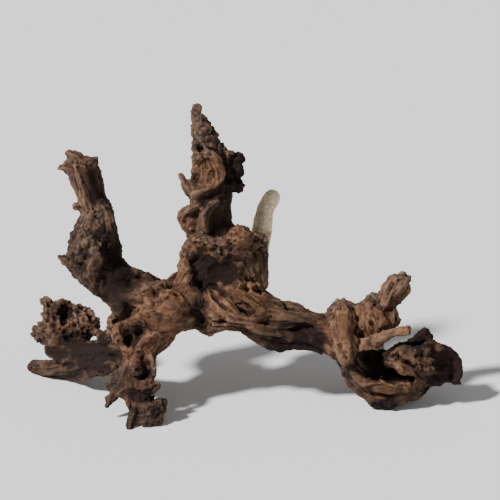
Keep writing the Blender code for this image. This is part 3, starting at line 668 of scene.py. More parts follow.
balls = ball_tree()
knobs = new_object("knobs", knob_points("knobs", KNOBS))
hollows = new_object("hollows", knob_points("hollows", HOLLOWS))
for thing in (knobs, hollows):
    wear_tree(thing, balls, {**BALL_SIZES, "Material": raw_material})
knob_mesh = plain_mesh(knobs)
print("knobs:", len(knob_mesh.polygons), "faces")

# %% [markdown]
# ## One skin
#
# The strands and knobs still lie through each other. A voxel remesh fuses them to one closed skin,
# a Boolean cuts the hollows and grooves, and a second, finer remesh gives the even faces that the
# weathering needs. A little smoothing takes off the voxels' own steps. Sculpting by hand would start
# from such a skin too.

# %% Fusing and carving
# The first skin only fuses, so its voxels, in millimetres, are coarser and quicker.
COARSE_VOXEL = 2.0
FINE_VOXEL = 1.15
SOFTEN_SHARE, SOFTEN_ROUNDS = 0.5, 4


def joined_mesh(name, meshes):
    """One mesh from several."""
    bm = bmesh.new()
    for mesh in meshes:
        bm.from_mesh(mesh)
    mesh = bpy.data.meshes.new(name)
    bm.to_mesh(mesh)
    bm.free()
    return mesh


def fuse(wood, voxel):
    """A voxel remesh as a modifier."""
    skin = wood.modifiers.new("fuse", "REMESH")
    skin.mode = "VOXEL"
    skin.voxel_size = voxel * MM


def carve(wood, cutter):
    """Cuts the balls and tubes away."""
    cut = wood.modifiers.new("carve", "BOOLEAN")
    cut.operation = "DIFFERENCE"
    cut.object = cutter
    cut.solver = "MANIFOLD"


wood = new_object("driftwood_skin", joined_mesh("driftwood_skin", [strand_mesh, knob_mesh]))
cutter = new_object("cutter", joined_mesh("cutter", [plain_mesh(hollows), furrow_mesh]))
fuse(cutter, COARSE_VOXEL)
fuse(wood, COARSE_VOXEL)
carve(wood, cutter)
fuse(wood, FINE_VOXEL)
soften = wood.modifiers.new("soften", "SMOOTH")
soften.factor = SOFTEN_SHARE
soften.iterations = SOFTEN_ROUNDS
skin_mesh = plain_mesh(wood)
print("skin:", len(skin_mesh.vertices), "points")

# %% [markdown]
# ## The grain
#
# Water wears root wood along its fibres, so the fibres' way is needed at every point of the skin.
# Each point takes the way of the nearest strand, and a few rounds of blurring over the skin let one
# strand's way pass into the next and fill the knobs, which have none of their own.

# %% Arrays of a mesh
def point_array(mesh, label="position"):
    """A vector for each point of a mesh, as an array."""
    values = np.empty(len(mesh.vertices) * 3, dtype=np.float32)
    mesh.attributes[label].data.foreach_get("vector", values)
    return values.reshape(-1, 3)


def point_normals(mesh):
    """The direction each point of a mesh faces, as an array."""
    values = np.empty(len(mesh.vertices) * 3, dtype=np.float32)
    mesh.vertex_normals.foreach_get("vector", values)
    return values.reshape(-1, 3)


def set_points(mesh, points):
    """Moves the points of a mesh to new places."""
    mesh.attributes["position"].data.foreach_set("vector", points.ravel())
    mesh.update()


def stand_on_floor(mesh):
    """Wears flat what would sink into the floor, and gives the points back."""
    points = point_array(mesh)
    points[:, 2] = np.maximum(points[:, 2], 0)
    set_points(mesh, points)
    return points


def unit(vectors):
    """The vectors made one long; a zero vector stays zero."""
    return vectors / np.maximum(np.linalg.norm(vectors, axis=1, keepdims=True), 1e-9)


# %% A skin that can be blurred and moved
class Skin:
    """The skin's points, facing and edges, with a blur that runs over its surface."""

    def __init__(self, mesh):
        self.mesh = mesh
        self.points = point_array(mesh)
        self.facing = point_normals(mesh)
        edges = np.empty(len(mesh.edges) * 2, dtype=np.int32)
        mesh.edges.foreach_get("vertices", edges)
        self.start, self.end = edges.reshape(-1, 2).T
        self.ways = np.concatenate((self.start, self.end))
        self.count = np.bincount(self.ways, minlength=len(self.points)) + 1

    def blur(self, values, rounds):
        """Each round averages every point with its neighbours."""
        for _ in range(rounds):
            mixed = np.empty_like(values)
            for axis in range(values.shape[1]):
                column = values[:, axis]
                near = np.concatenate((column[self.end], column[self.start]))
                total = np.bincount(self.ways, near, len(self.points))
                mixed[:, axis] = (total + column) / self.count
            values = mixed
        return values

    def move(self, heights):
        """Raises each point along its own facing."""
        self.points = self.points + self.facing * heights[:, None]
        set_points(self.mesh, self.points)
        self.facing = point_normals(self.mesh)


skin = Skin(skin_mesh)
print("edges:", len(skin.start))


# %% The grain at every point
def nearest(points, places):
    """For each point, the number of the place that is nearest to it."""
    tree = KDTree(len(places))
    for i, spot in enumerate(places):
        tree.insert(spot, i)
    tree.balance()
    return [tree.find(spot)[1] for spot in points]


def nearest_grain(points, strands, stride=3):
    """The way of the strand nearest to each point."""
    places = point_array(strands)[::stride]
    ways = point_array(strands, "grain")[::stride]
    return ways[nearest(points, places)]


GRAIN_BLUR_ROUNDS = 30
# A blurred way shorter than 0.45 counts as tangled, and one longer than 0.95 as even.
EVEN_GAIN, EVEN_LOSS = 2.0, 0.9

grain = skin.blur(nearest_grain(skin.points, strand_mesh), GRAIN_BLUR_ROUNDS)
grain -= skin.facing * (grain * skin.facing).sum(1, keepdims=True)
# Where strands cross, their ways blur to almost nothing: the wood there is tangled, not fluted.
even_grain = np.clip(np.linalg.norm(grain, axis=1) * EVEN_GAIN - EVEN_LOSS, 0, 1)
grain = unit(grain)
print("grain on", len(grain), "points, even on", round(float(even_grain.mean()), 2))

# %% [markdown]
# ## Noise with a grain
#
# Plain noise makes soft, round lumps. Folded at zero, it makes puffy swellings with creases between
# them, as on bark, and turned over, the sharp crests of crags. Wood also needs long lumps, so the
# noise is sampled at many places along the grain and averaged: what is left changes fast across the
# fibres and slowly along them. Wide noise makes flutes, fine noise makes fibres, and the lines where
# a third one crosses zero make the cracks that open as wet wood dries. Here the noise is written
# with arrays, because it has to be averaged along a way that changes from point to point.

# %% Soft lumps, puffy lumps and crags
NOISE_SEED = 11
LATTICE_SIDE = 48
LATTICE = np.random.default_rng(NOISE_SEED).random((LATTICE_SIDE,) * 3).astype(np.float32) * 2 - 1
CORNERS = [(i, j, k) for i in (0, 1) for j in (0, 1) for k in (0, 1)]
# Folded lumps seldom pass a half: this spreads them from -1 to 1.
PUFF = 4


def eased(share):
    """A ramp from 0 to 1, made smooth at both its ends."""
    return share * share * (3 - 2 * share)


def lumps(points, size, shift=0.0):
    """Soft random heights from -1 to 1, with lumps about size millimetres apart."""
    spot = points / (size * MM) + shift
    low = np.floor(spot).astype(np.int32)
    part = eased(spot - low)
    total = np.zeros(len(points), dtype=np.float32)
    for corner in CORNERS:
        weight = np.ones(len(points), dtype=np.float32)
        for axis in range(3):
            weight *= part[:, axis] if corner[axis] else 1 - part[:, axis]
        cell = (low + corner) % LATTICE_SIDE
        total += weight * LATTICE[cell[:, 0], cell[:, 1], cell[:, 2]]
    return total


def puffy_lumps(points, size, shift=0.0):
    """Round swellings with sharp creases between them, as on bark, from about -1 to 1."""
    return np.abs(lumps(points, size, shift)) * PUFF - 1


def crags(points, size, shift=0.0):
    """Puffy lumps turned over: sharp crests with round dips between them."""
    return -puffy_lumps(points, size, shift)


print("lattice of", LATTICE.size, "random numbers")


# %% Bent patterns, long lumps and pits
# Samples along the grain for each lump's size, and the angle that makes the far ones count less.
LONG_SAMPLES, LONG_TAPER = 4, 1.4
# How far a pit strays in its cell, and how many half-widths from its middle it ends.
PIT_JITTER, PIT_EDGE = 0.45, 1.3


def pushed(points, size, reach):
    """The points shifted by soft lumps: a pattern read there bends and folds."""
    push = np.stack([lumps(points, size, shift) for shift in (1.3, 6.1, 8.7)], axis=1)
    return points + push * (reach * MM)


def long_lumps(points, ways, size, reach, shift=0.0):
    """Soft heights drawn out along the ways, reach millimetres to either side."""
    total = np.zeros(len(points), dtype=np.float32)
    for t in np.linspace(-1, 1, round(LONG_SAMPLES * reach / size)):
        total += math.cos(t * LONG_TAPER) * lumps(points + ways * (t * reach * MM), size, shift)
    return total / (2 * total.std())


def pits(points, spacing, width, shift=0.0):
    """Round pits from 0 to 1, one in each cell of a jittered grid: 1 is a pit's middle."""
    spot = points / (spacing * MM) + shift
    home = np.floor(spot).astype(np.int32)
    closest = np.full(len(points), np.inf, dtype=np.float32)
    for step in np.ndindex(3, 3, 3):
        cell = home + np.array(step) - 1
        a, b, c = (cell % LATTICE_SIDE).T
        jitter = np.stack((LATTICE[a, b, c], LATTICE[b, c, a], LATTICE[c, a, b]), axis=1)
        away = np.linalg.norm(cell + 0.5 + PIT_JITTER * jitter - spot, axis=1)
        closest = np.minimum(closest, away)
    return eased(np.clip(PIT_EDGE - closest * spacing * 2 / width, 0, 1))


print("a long lump is the mean of about", LONG_SAMPLES, "samples for each of its widths")


# %% [markdown]
# ## Where the wood differs
#
# The same root has rough bark left on one horn, a porous, rotten end, folds where it swelled round
# a wound, and a stick that is worn smooth and pale. Two more zones are painted shade, not the wood's
# own colour: a full one in hollows, under overhangs and on flanks turned from the sun, and a weaker
# one on limbs that lie in shadow. Each such zone is a few soft balls on the front view: (across,
# down, depth, reach). A point in the middle of one belongs to the zone fully, and one at its edge
# only a little. Soft lumps make the edge ragged, so that no ball shows as a disk.

# %% Zones of the skin
ZONES = {
    "bark": [
        (99, 212, -20, 14), (90, 228, -20, 16), (86, 246, -18, 22), (95, 262, -18, 18),
        (94, 276, -18, 14), (150, 409, -38, 16), (161, 412, -38, 12), (200, 122, -30, 9),
        (204, 138, -26, 14), (221, 152, -14, 12), (236, 162, -12, 14), (238, 180, -12, 12),
        (192, 247, -24, 8), (240, 236, -26, 8), (261, 245, -6, 10),
        (372, 299, -10, 9), (402, 352, -12, 12), (382, 404, -4, 12), (404, 280, -14, 8),
        (118, 382, -22, 12), (350, 300, -4, 14), (395, 322, -10, 8)],
    "pores": [
        (40, 332, 64, 16), (60, 326, 58, 20), (80, 322, 52, 20), (90, 324, 48, 12),
        (47, 306, 64, 12), (34, 333, 66, 10), (428, 364, -26, 11)],
    "smooth": [
        (273, 198, 36, 16), (267, 210, 34, 15), (263, 224, 32, 16), (261, 240, 30, 16),
        (258, 254, 28, 15), (97, 178, -34, 11), (98, 192, -34, 11), (217, 222, -20, 14),
        (447, 363, -8, 11), (220, 272, -24, 13), (256, 265, -20, 12),
        (164, 331, -36, 13), (136, 334, -26, 8),
        (112, 262, -26, 14), (120, 280, -26, 14), (368, 360, 4, 18), (343, 330, -34, 12),
        (169, 309, -46, 9), (118, 305, -30, 10)],
    "folded": [
        (148, 296, -24, 24), (168, 308, -32, 24), (144, 316, -28, 20), (186, 288, -20, 18),
        (120, 308, -16, 20), (160, 326, -30, 16), (192, 304, -20, 16), (372, 320, -22, 18),
        (190, 262, -20, 16), (188, 225, -20, 12), (412, 358, -26, 14), (428, 366, -26, 12)],
    "pale": [
        (273, 198, 36, 17), (267, 210, 34, 16), (263, 224, 32, 17), (262, 240, 30, 15),
        (260, 250, 28, 10)],
    "warm": [
        (150, 325, -34, 30), (168, 310, -36, 20), (135, 348, -28, 20), (343, 335, -30, 22),
        (370, 320, -24, 18), (208, 172, -28, 14), (186, 230, -18, 12), (238, 236, -34, 12),
        (250, 306, -34, 22), (225, 300, -34, 22), (427, 350, -22, 10), (405, 331, -30, 10),
        (385, 386, -22, 22), (134, 400, -38, 12), (136, 386, -42, 12), (186, 268, -22, 22),
        (412, 358, -28, 16), (64, 334, 42, 14)],
    # A weaker painted shade, on limbs and hollows that lie in shadow.
    "painted_half_shade": [
        (80, 366, 50, 30), (50, 368, 74, 26), (104, 362, 14, 24), (60, 350, 52, 26),
        (130, 385, -32, 26), (150, 408, -38, 24), (130, 425, -44, 14), (108, 396, -28, 18),
        (44, 338, 60, 12), (430, 362, -10, 34), (452, 368, 0, 24),
        (95, 270, -14, 26), (84, 246, -14, 20), (385, 395, -4, 24), (260, 330, -24, 26),
        (300, 335, -20, 26), (240, 172, -12, 20), (208, 270, -24, 18), (224, 270, -26, 20),
        (350, 360, -10, 14), (64, 374, 56, 20), (352, 376, -12, 18)],
    # Painted shade: hollows, undersides and flanks turned away from the sun.
    "dark": [
        (237, 168, -14, 16), (449, 364, -4, 18), (209, 267, -26, 12), (224, 273, -26, 12),
        (204, 281, -24, 11), (360, 358, -16, 13), (200, 308, -24, 12), (200, 320, -20, 9),
        (121, 304, -30, 14), (140, 398, -36, 11), (146, 372, -32, 8), (370, 360, 0, 24),
        (134, 334, -29, 11), (137, 331, -35, 9), (64, 349, 48, 12), (73, 350, 39, 14),
        (82, 351, 30, 15), (91, 352, 21, 15), (100, 352, 11, 15), (109, 352, 2, 15),
        (118, 353, -6, 13), (131, 335, -34, 9), (108, 240, -10, 18), (114, 262, -16, 22),
        (124, 280, -20, 20), (217, 222, -16, 18), (228, 205, -10, 16), (64, 313, 54, 13),
        (420, 340, -8, 14), (384, 406, -4, 12), (400, 379, 0, 14), (97, 180, -32, 10),
        (99, 194, -30, 10), (300, 336, -24, 12), (318, 344, -20, 12), (280, 342, -20, 14),
        (146, 400, -36, 8), (390, 316, -6, 10), (438, 382, 2, 14), (200, 148, -26, 6),
        (195, 180, -24, 7), (206, 198, -28, 9), (218, 194, -26, 9)],
}

# A ball counts out to this many times its reach, give or take the ragged edge's own lumps.
ZONE_EDGE = 1.6
RAGGED, RAGGED_SIZE = 0.5, 7


def zone(points, name):
    """How much each point belongs to a zone, from 0 to 1, with a ragged edge."""
    belongs = np.zeros(len(points), dtype=np.float32)
    edge = ZONE_EDGE + RAGGED * lumps(points, RAGGED_SIZE, shift=2.9)
    for across, down, depth, reach in ZONES[name]:
        away = np.linalg.norm(points - np.array(place(across, down, depth)), axis=1)
        belongs = np.maximum(belongs, np.clip(edge - away / (reach * MM), 0, 1))
    return eased(belongs)


zones = {name: zone(skin.points, name) for name in ZONES}
print("zones:", {name: round(float(share.mean()), 3) for name, share in zones.items()})

# %% [markdown]
# ## Weathering
#
# Where the wood is bare and its grain is even, it gets flutes, fibres and cracks. Bark gets puffy
# lumps, rotten wood gets pits, and swollen wood gets folds, which are crags read through a bent
# pattern. Small crags roughen all but the smooth places. Every height is in millimetres and moves a
# point along its own facing, and what would sink below the floor is worn flat, as it is on the
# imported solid. A bump map would be cheaper, but it leaves the outline smooth, and torn, knobbly
# edges are what the eye knows driftwood by.

# %% Sizes of the relief, in millimetres
FLUTE_SIZE, FLUTE_REACH, FLUTE_HEIGHT = 7, 26, 1.25
FIBRE_SIZE, FIBRE_REACH, FIBRE_HEIGHT = 3.2, 12, 0.6
# Flutes and fibres are highest on their crest lines and fall this fast to either side.
SHARPNESS = 2.2
CRACK_SIZE, CRACK_REACH, CRACK_DEPTH, CRACK_WIDTH = 14, 36, 1.4, 0.2
CRACKED_PATCH, CRACKED_EDGE = 30, 4
BARK_SIZES = {8: 1.0, 4.6: 0.9, 2.8: 0.45}
CRAG_SIZES = {9: 0.35, 5: 0.45, 2.9: 0.45}
FOLD_SIZES = {18: 1.3, 8: 0.4}
FOLD_BEND = 12
BIG_PIT_SPACING, BIG_PIT_WIDTH, BIG_PIT_DEPTH = 10, 8, 4.5
PIT_SPACING, PIT_WIDTH, PIT_DEPTH = 5, 3.6, 2.4
# The shares of the grain that bark, wear and folds hide.
BARK_HIDES, WEAR_HIDES, FOLDS_HIDE = 0.8, 0.8, 0.2
# The shares of the crags that wear, folds and an even grain take away.
WEAR_CALMS, FOLDS_CALM, GRAIN_CALMS = 0.8, 0.4, 0.4
print("flutes", FLUTE_HEIGHT, "mm, fibres", FIBRE_HEIGHT, "mm, cracks", CRACK_DEPTH, "mm")

# %% The relief of each kind
points = skin.points
flute = long_lumps(points, grain, FLUTE_SIZE, FLUTE_REACH)
fibre = long_lumps(points, grain, FIBRE_SIZE, FIBRE_REACH, shift=3.7)
sharp_flute = 1 - SHARPNESS * np.abs(flute)
sharp_fibre = 1 - SHARPNESS * np.abs(fibre)
split = long_lumps(points, grain, CRACK_SIZE, CRACK_REACH, shift=9.1)
crack = np.clip(1 - np.abs(split) / CRACK_WIDTH, 0, 1)
# Only some patches are cracked.
crack = crack * np.clip(lumps(points, CRACKED_PATCH, shift=5.5) * CRACKED_EDGE, 0, 1)
knobbly = sum(height * puffy_lumps(points, size, size) for size, height in BARK_SIZES.items())
craggy = sum(height * crags(points, size, -size) for size, height in CRAG_SIZES.items())
bent = pushed(points, FOLD_BEND, FOLD_BEND)
folds = sum(height * crags(bent, size, -2 * size) for size, height in FOLD_SIZES.items())
pitted = BIG_PIT_DEPTH * pits(points, BIG_PIT_SPACING, BIG_PIT_WIDTH, shift=4.4)
pitted += PIT_DEPTH * pits(points, PIT_SPACING, PIT_WIDTH)
print("cracks on", round(float((crack > 0).mean()), 2), "of the skin")

# %% Weathering the skin
bare = 1 - zones["bark"] * BARK_HIDES - zones["pores"] - zones["smooth"] * WEAR_HIDES
grown = np.clip(bare, 0, 1) * even_grain * (1 - FOLDS_HIDE * zones["folded"])
calm = (1 - zones["smooth"] * WEAR_CALMS) * (1 - zones["folded"] * FOLDS_CALM)
height = grown * (FLUTE_HEIGHT * sharp_flute + FIBRE_HEIGHT * sharp_fibre - CRACK_DEPTH * crack)
height += zones["bark"] * knobbly
height += zones["pores"] * (knobbly - pitted)
height += zones["folded"] * folds
height += calm * (1 - grown * GRAIN_CALMS) * craggy
skin.move(height * MM)
skin.points = stand_on_floor(skin.mesh)
print("weathered by", round(float(height.min()), 1), "to", round(float(height.max()), 1), "mm")

# %% [markdown]
# ## Hollow and proud places
#
# Dirt stays in grooves, and sun bleaches ridges. The material also paints shade into the grooves
# and hollows and a highlight onto the ridges from the same measures. How deep a point lies below its
# surroundings is measured by blurring the skin and seeing how far the blurred skin stands over it. A
# few rounds find fine grooves and many rounds find wide hollows. The results are kept on the mesh as
# attributes, which the material reads by their names.

# %% Cavity, and what the material reads
STREAK_OF_FLUTE, STREAK_OF_FIBRE = 0.3, 0.25


def cavity(rounds, depth):
    """How deep each point lies under its surroundings: 0.5 is level, 1 is depth millimetres."""
    blurred = skin.blur(skin.points, rounds)
    under = ((blurred - skin.points) * skin.facing).sum(1) / (depth * MM)
    return np.clip(0.5 + under / 2, 0, 1)


def wear_looks(mesh, looks):
    """Gives a mesh the numbers that its material reads, one of each kind for each point."""
    for label, numbers in looks.items():
        if label in mesh.attributes:
            mesh.attributes.remove(mesh.attributes[label])
        store(mesh, label, numbers)


streaks = STREAK_OF_FLUTE * sharp_flute + STREAK_OF_FIBRE * sharp_fibre
looks = {
    "fine_cavity": cavity(rounds=5, depth=0.8),
    "wide_cavity": cavity(rounds=60, depth=4.0),
    "streak": np.clip(0.5 + grown * streaks, 0, 1),
    "crack": crack * grown,
    "bare": grown * (1 - zones["dark"]),
    **{name: zones[name] for name in ("pale", "warm", "painted_half_shade", "dark", "bark")},
}
wear_looks(skin.mesh, looks)
store(skin.mesh, "grain", grain)
print("looks:", {label: round(float(numbers.mean()), 2) for label, numbers in looks.items()})

# %% [markdown]
# ## The finish
#
# Old root wood is dull: no varnish, only a fine, dry surface. Its colour is a warm brown where the
# heartwood shows, grey-brown where it has weathered, and straw-coloured on the worn stick. Its
# hollows are near black, partly from dirt and partly from painted shade; its undersides and shaded
# flanks are painted shade; and the pale crests of its ridges are partly bleaching and partly a
# painted highlight. A picture wrapped round it would smear on its sides, so the material reads what
# the mesh knows: where it is fluted, hollow, cracked, pale, warm or painted with shade.

# %% Colours
def linear(hex_colour):
    """An sRGB hex colour as linear red, green, blue and alpha."""
    parts = [int(hex_colour[i:i + 2], 16) / 255 for i in (1, 3, 5)]
    parts = [c / 12.92 if c <= 0.04045 else ((c + 0.055) / 1.055) ** 2.4 for c in parts]
    return (*parts, 1)


GREY_BROWN = linear("#4a3a31")
WARM_BROWN = linear("#5e402f")
# The tan of bleached streak crests, which also serves as a painted highlight.
STREAK_AND_HIGHLIGHT_TAN = linear("#94745a")
STRAW = linear("#efd7b6")
# Near black, for dirt and for painted shade.
SOOT_AND_SHADE = linear("#211612")
BARK_GREY = linear("#4e4037")

print("warm brown, linear:", [round(part, 3) for part in WARM_BROWN[:3]])

# %% The material
# For each ramp: what it reads, the readings where it starts and where it is full, and its share.
RAMPS = {
    # Bleached crests of the streaks, partly a painted highlight.
    "streak_bleach_and_highlight": ("streak", 0.5, 1.0, 0.5),
    # A painted highlight on fine ridges.
    "painted_ridge_highlight": ("fine_cavity", 0.4, 0.05, 0.35),
    # These three darken for dirt and for painted shade.
    "groove_dirt_and_shade": ("fine_cavity", 0.42, 0.85, 0.8),
    "hollow_dirt_and_shade": ("wide_cavity", 0.46, 0.95, 0.8),
    "valley_dirt_and_shade": ("streak", 0.48, 0.1, 0.65),
}
# Shares of painted shade in the full and the weaker zones, and how much of it the crests lose.
FULL_SHADE_SHARE, HALF_SHADE_SHARE, CREST_SHADE_LIFT = 0.94, 0.72, 0.6
# Patches of warmer brown are about 25 mm across. Specks of dry grit are finer than the render
# shows, so they are drawn 2.4 mm apart and less.
PATCH_SIZE, PATCH_DETAIL, PATCH_SHARE = 25, 3.0, 0.5
SPECK_SIZE, SPECK_DETAIL, SPECK_HEIGHT, SPECK_BUMP = 2.381, 4.0, 0.8, 0.6
SPECK_LOW, SPECK_HIGH, SPECK_DARKEST, SPECK_LIGHTEST = 0.3, 0.7, 0.72, 1.25


def weathered_root_wood():
    """Water-worn, sun-dried root wood: matt, streaked, with dirt and painted shade in grooves."""
    material = bpy.data.materials.new("weathered_root_wood")
    material.use_nodes = True
    tree = material.node_tree
    shader = tree.nodes["Principled BSDF"]
    shader.inputs["Roughness"].default_value = 0.86
    shader.inputs["Specular IOR Level"].default_value = 0.18
    shader.inputs["IOR"].default_value = 1.45
    place_on = add(tree, "ShaderNodeTexCoord").outputs["Object"]
    patch, speck = [
        add(tree, "ShaderNodeTexNoise",
            {"Vector": place_on, "Scale": 1 / (size * MM), "Detail": detail}).outputs["Fac"]
        for size, detail in ((PATCH_SIZE, PATCH_DETAIL), (SPECK_SIZE, SPECK_DETAIL))]
    read = {
        label: add(tree, "ShaderNodeAttribute", attribute_name=label).outputs["Fac"]
        for label in looks if label != "bare"}
    ramp = {
        name: add(tree, "ShaderNodeMapRange", {0: read[label], 1: start, 2: full, 3: 0.0, 4: share})
        for name, (label, start, full, share) in RAMPS.items()}

    warmth = add(
        tree, "ShaderNodeMath", {0: patch, 1: PATCH_SHARE, 2: read["warm"]},
        operation="MULTIPLY_ADD", use_clamp=True)
    # Lighter: bleached streak crests, and a painted highlight on fine ridges.
    bleach_and_highlight = add(
        tree, "ShaderNodeMath", {0: ramp["streak_bleach_and_highlight"], 1: ramp["painted_ridge_highlight"]},
        operation="MAXIMUM")
    # The two painted-shade zones are darkened, but on the crests of streaks and ridges the painted
    # shade is partly lifted, as if lit.
    shade = add(tree, "ShaderNodeMath", {0: read["dark"], 1: FULL_SHADE_SHARE}, operation="MULTIPLY")
    shade = add(
        tree, "ShaderNodeMath", {0: read["painted_half_shade"], 1: HALF_SHADE_SHARE, 2: shade}, operation="MULTIPLY_ADD")
    shade_left = add(
        tree, "ShaderNodeMath", {0: bleach_and_highlight, 1: -CREST_SHADE_LIFT, 2: 1.0}, operation="MULTIPLY_ADD")
    shade = add(tree, "ShaderNodeMath", {0: shade, 1: shade_left}, operation="MULTIPLY")
    # Dirt lies in cracks; dirt and painted shade in fine grooves, wide hollows and the valleys
    # between streaks; and the painted-shade zones add their painted shade.
    dirt_and_shade = read["crack"]
    for more in (ramp["groove_dirt_and_shade"], ramp["hollow_dirt_and_shade"], ramp["valley_dirt_and_shade"], shade):
        dirt_and_shade = add(tree, "ShaderNodeMath", {0: dirt_and_shade, 1: more}, operation="MAXIMUM", use_clamp=True)

    # Each colour covers the ones before it by its share.
    colour = GREY_BROWN
    covers = (
        (warmth, WARM_BROWN), (read["bark"], BARK_GREY), (bleach_and_highlight, STREAK_AND_HIGHLIGHT_TAN), (dirt_and_shade, SOOT_AND_SHADE),
        (read["pale"], STRAW))
    for share, cover in covers:
        mixed = add(tree, "ShaderNodeMix", {0: share, 6: colour, 7: cover}, data_type="RGBA")
        colour = mixed.outputs[2]
    tone = add(
        tree, "ShaderNodeMapRange",
        {0: speck, 1: SPECK_LOW, 2: SPECK_HIGH, 3: SPECK_DARKEST, 4: SPECK_LIGHTEST})
    colour = add(tree, "ShaderNodeVectorMath", {0: colour, "Scale": tone}, operation="SCALE")
    tree.links.new(colour.outputs[0], shader.inputs["Base Color"])
    bump = add(
        tree, "ShaderNodeBump",
        {"Height": speck, "Strength": SPECK_BUMP, "Distance": SPECK_HEIGHT * MM})
    tree.links.new(bump.outputs[0], shader.inputs["Normal"])
    return material


root_wood = weathered_root_wood()
print("material:", root_wood.name, len(root_wood.node_tree.nodes), "nodes")

# %% [markdown]
# ## Loose fibres
#
# Here and there a fibre has worn free and stands up from the surface like a thin cord. Each starts
# at a random point of bare wood and creeps along the grain: a repeat zone extrudes its tip a few
# millimetres at a time and lays the new point back on the skin. Where the skin drops away from the
# tip, the fibre ends, so that none hangs over a hollow. Laying hundreds of them by hand would take
# hours, and one rule makes them all.

# %% A tree that lets fibres creep along the grain
LOOSE_FIBRE_SIZES = {
    "Density": 7000.0, "Least Bare": 0.6, "Steps": 8, "Stride": 2.6 * MM, "Thickness": 0.75 * MM,
    "Most Drop": 0.9 * MM, "Sides": 5, "Seed": 5, "Material": None}
# A fibre's ends are this share of its middle's thickness.
FIBRE_END_SHARE = 0.15


def fibre_tree():
    """Skin in, thin tapered fibres out."""
    tree, entry = start_tree("creeping fibres", LOOSE_FIBRE_SIZES)
    size = entry.outputs
    bare = add(tree, "GeometryNodeInputNamedAttribute", {"Name": "bare"}, data_type="FLOAT")
    grain = add(
        tree, "GeometryNodeInputNamedAttribute", {"Name": "grain"}, data_type="FLOAT_VECTOR")
    starts = add(
        tree, "GeometryNodeDistributePointsOnFaces",
        {"Mesh": size["Geometry"], "Density": size["Density"], "Seed": size["Seed"]})
    covered = add(
        tree, "ShaderNodeMath", {0: bare, 1: size["Least Bare"]}, operation="LESS_THAN")
    kept = add(tree, "GeometryNodeDeleteGeometry", {"Geometry": starts, "Selection": covered})
    tips = add(tree, "GeometryNodePointsToVertices", {"Points": kept})
    tips = add(
        tree, "GeometryNodeStoreNamedAttribute", {"Geometry": tips, "Name": "tip", "Value": True},
        data_type="BOOLEAN")

    enter = tree.nodes.new("GeometryNodeRepeatInput")
    leave = tree.nodes.new("GeometryNodeRepeatOutput")
    enter.pair_with_output(leave)
    tree.links.new(size["Steps"], enter.inputs["Iterations"])
    tree.links.new(tips.outputs[0], enter.inputs["Geometry"])
    way = add(
        tree, "GeometryNodeSampleNearestSurface", {"Mesh": size["Geometry"], "Value": grain},
        data_type="FLOAT_VECTOR")
    stride = add(
        tree, "ShaderNodeVectorMath", {0: way, "Scale": size["Stride"]}, operation="SCALE")
    tip = add(tree, "GeometryNodeInputNamedAttribute", {"Name": "tip"}, data_type="BOOLEAN")
    grown = add(
        tree, "GeometryNodeExtrudeMesh",
        {"Mesh": enter.outputs["Geometry"], "Selection": tip, "Offset": stride}, mode="VERTICES")
    marked = add(
        tree, "GeometryNodeStoreNamedAttribute",
        {"Geometry": grown, "Name": "tip", "Value": grown.outputs["Top"]}, data_type="BOOLEAN")
    laid = add(tree, "GeometryNodeProximity", {0: size["Geometry"]}, target_element="FACES")
    # Where the skin drops away from the new tip, the fibre ends.
    drop = add(
        tree, "ShaderNodeMath", {0: laid.outputs["Distance"], 1: size["Most Drop"]},
        operation="GREATER_THAN")
    in_air = add(tree, "FunctionNodeBooleanMath", {0: tip, 1: drop}, operation="AND")
    held = add(tree, "GeometryNodeDeleteGeometry", {"Geometry": marked, "Selection": in_air})
    down = add(
        tree, "GeometryNodeSetPosition",
        {"Geometry": held, "Selection": tip, "Position": laid.outputs["Position"]})
    tree.links.new(down.outputs[0], leave.inputs["Geometry"])

    # A fibre is thickest half-way and tapers to both ends.
    path = add(tree, "GeometryNodeMeshToCurve", {"Mesh": leave.outputs["Geometry"]})
    along = add(tree, "GeometryNodeSplineParameter").outputs["Factor"]
    bulge = add(tree, "ShaderNodeMath", {0: along, 1: math.pi}, operation="MULTIPLY")
    bulge = add(tree, "ShaderNodeMath", {0: bulge}, operation="SINE")
    bulge = add(
        tree, "ShaderNodeMath", {0: bulge, 1: 1 - FIBRE_END_SHARE, 2: FIBRE_END_SHARE},
        operation="MULTIPLY_ADD")
    radius = add(
        tree, "ShaderNodeMath", {0: bulge, 1: size["Thickness"]}, operation="MULTIPLY")
    path = add(tree, "GeometryNodeSetCurveNormal", {"Curve": path}, mode="MINIMUM_TWIST")
    ring = add(
        tree, "GeometryNodeCurvePrimitiveCircle", {"Resolution": size["Sides"], "Radius": 1.0})
    cords = add(
        tree, "GeometryNodeCurveToMesh",
        {"Curve": path, "Profile Curve": ring, "Scale": radius, "Fill Caps": True})
    finish_tree(tree, entry, cords)
    return tree


# %% The fibres' mesh
# The strands, balls and cutter have done their work.
for thing in (wood, cutter, spines, furrows, knobs, hollows):
    bpy.data.objects.remove(thing)
skin.mesh.materials.clear()
skin.mesh.materials.append(root_wood)
full_skin = new_object("full_skin", skin.mesh)
wear_tree(full_skin, fibre_tree(), {**LOOSE_FIBRE_SIZES, "Material": root_wood})
fibre_mesh = plain_mesh(full_skin)
fibre_mesh.name = "loose_fibres"
full_skin.modifiers.clear()
# Each point of a fibre takes the looks of the wood under it.
home = nearest(stand_on_floor(fibre_mesh), skin.points)
wear_looks(fibre_mesh, {label: numbers[home] for label, numbers in looks.items()})
print("fibres:", len(fibre_mesh.polygons), "faces")

# %% [markdown]
# ## Fewer triangles
#
# The skin has far more faces than the limit set below. A collapse takes them out where the skin is
# flattest, so the crests, cracks and pits keep theirs. It comes last, because the weathering and
# the fibres need the full, even skin.

# %% The skin's last mesh
TRIANGLE_LIMIT = 192000


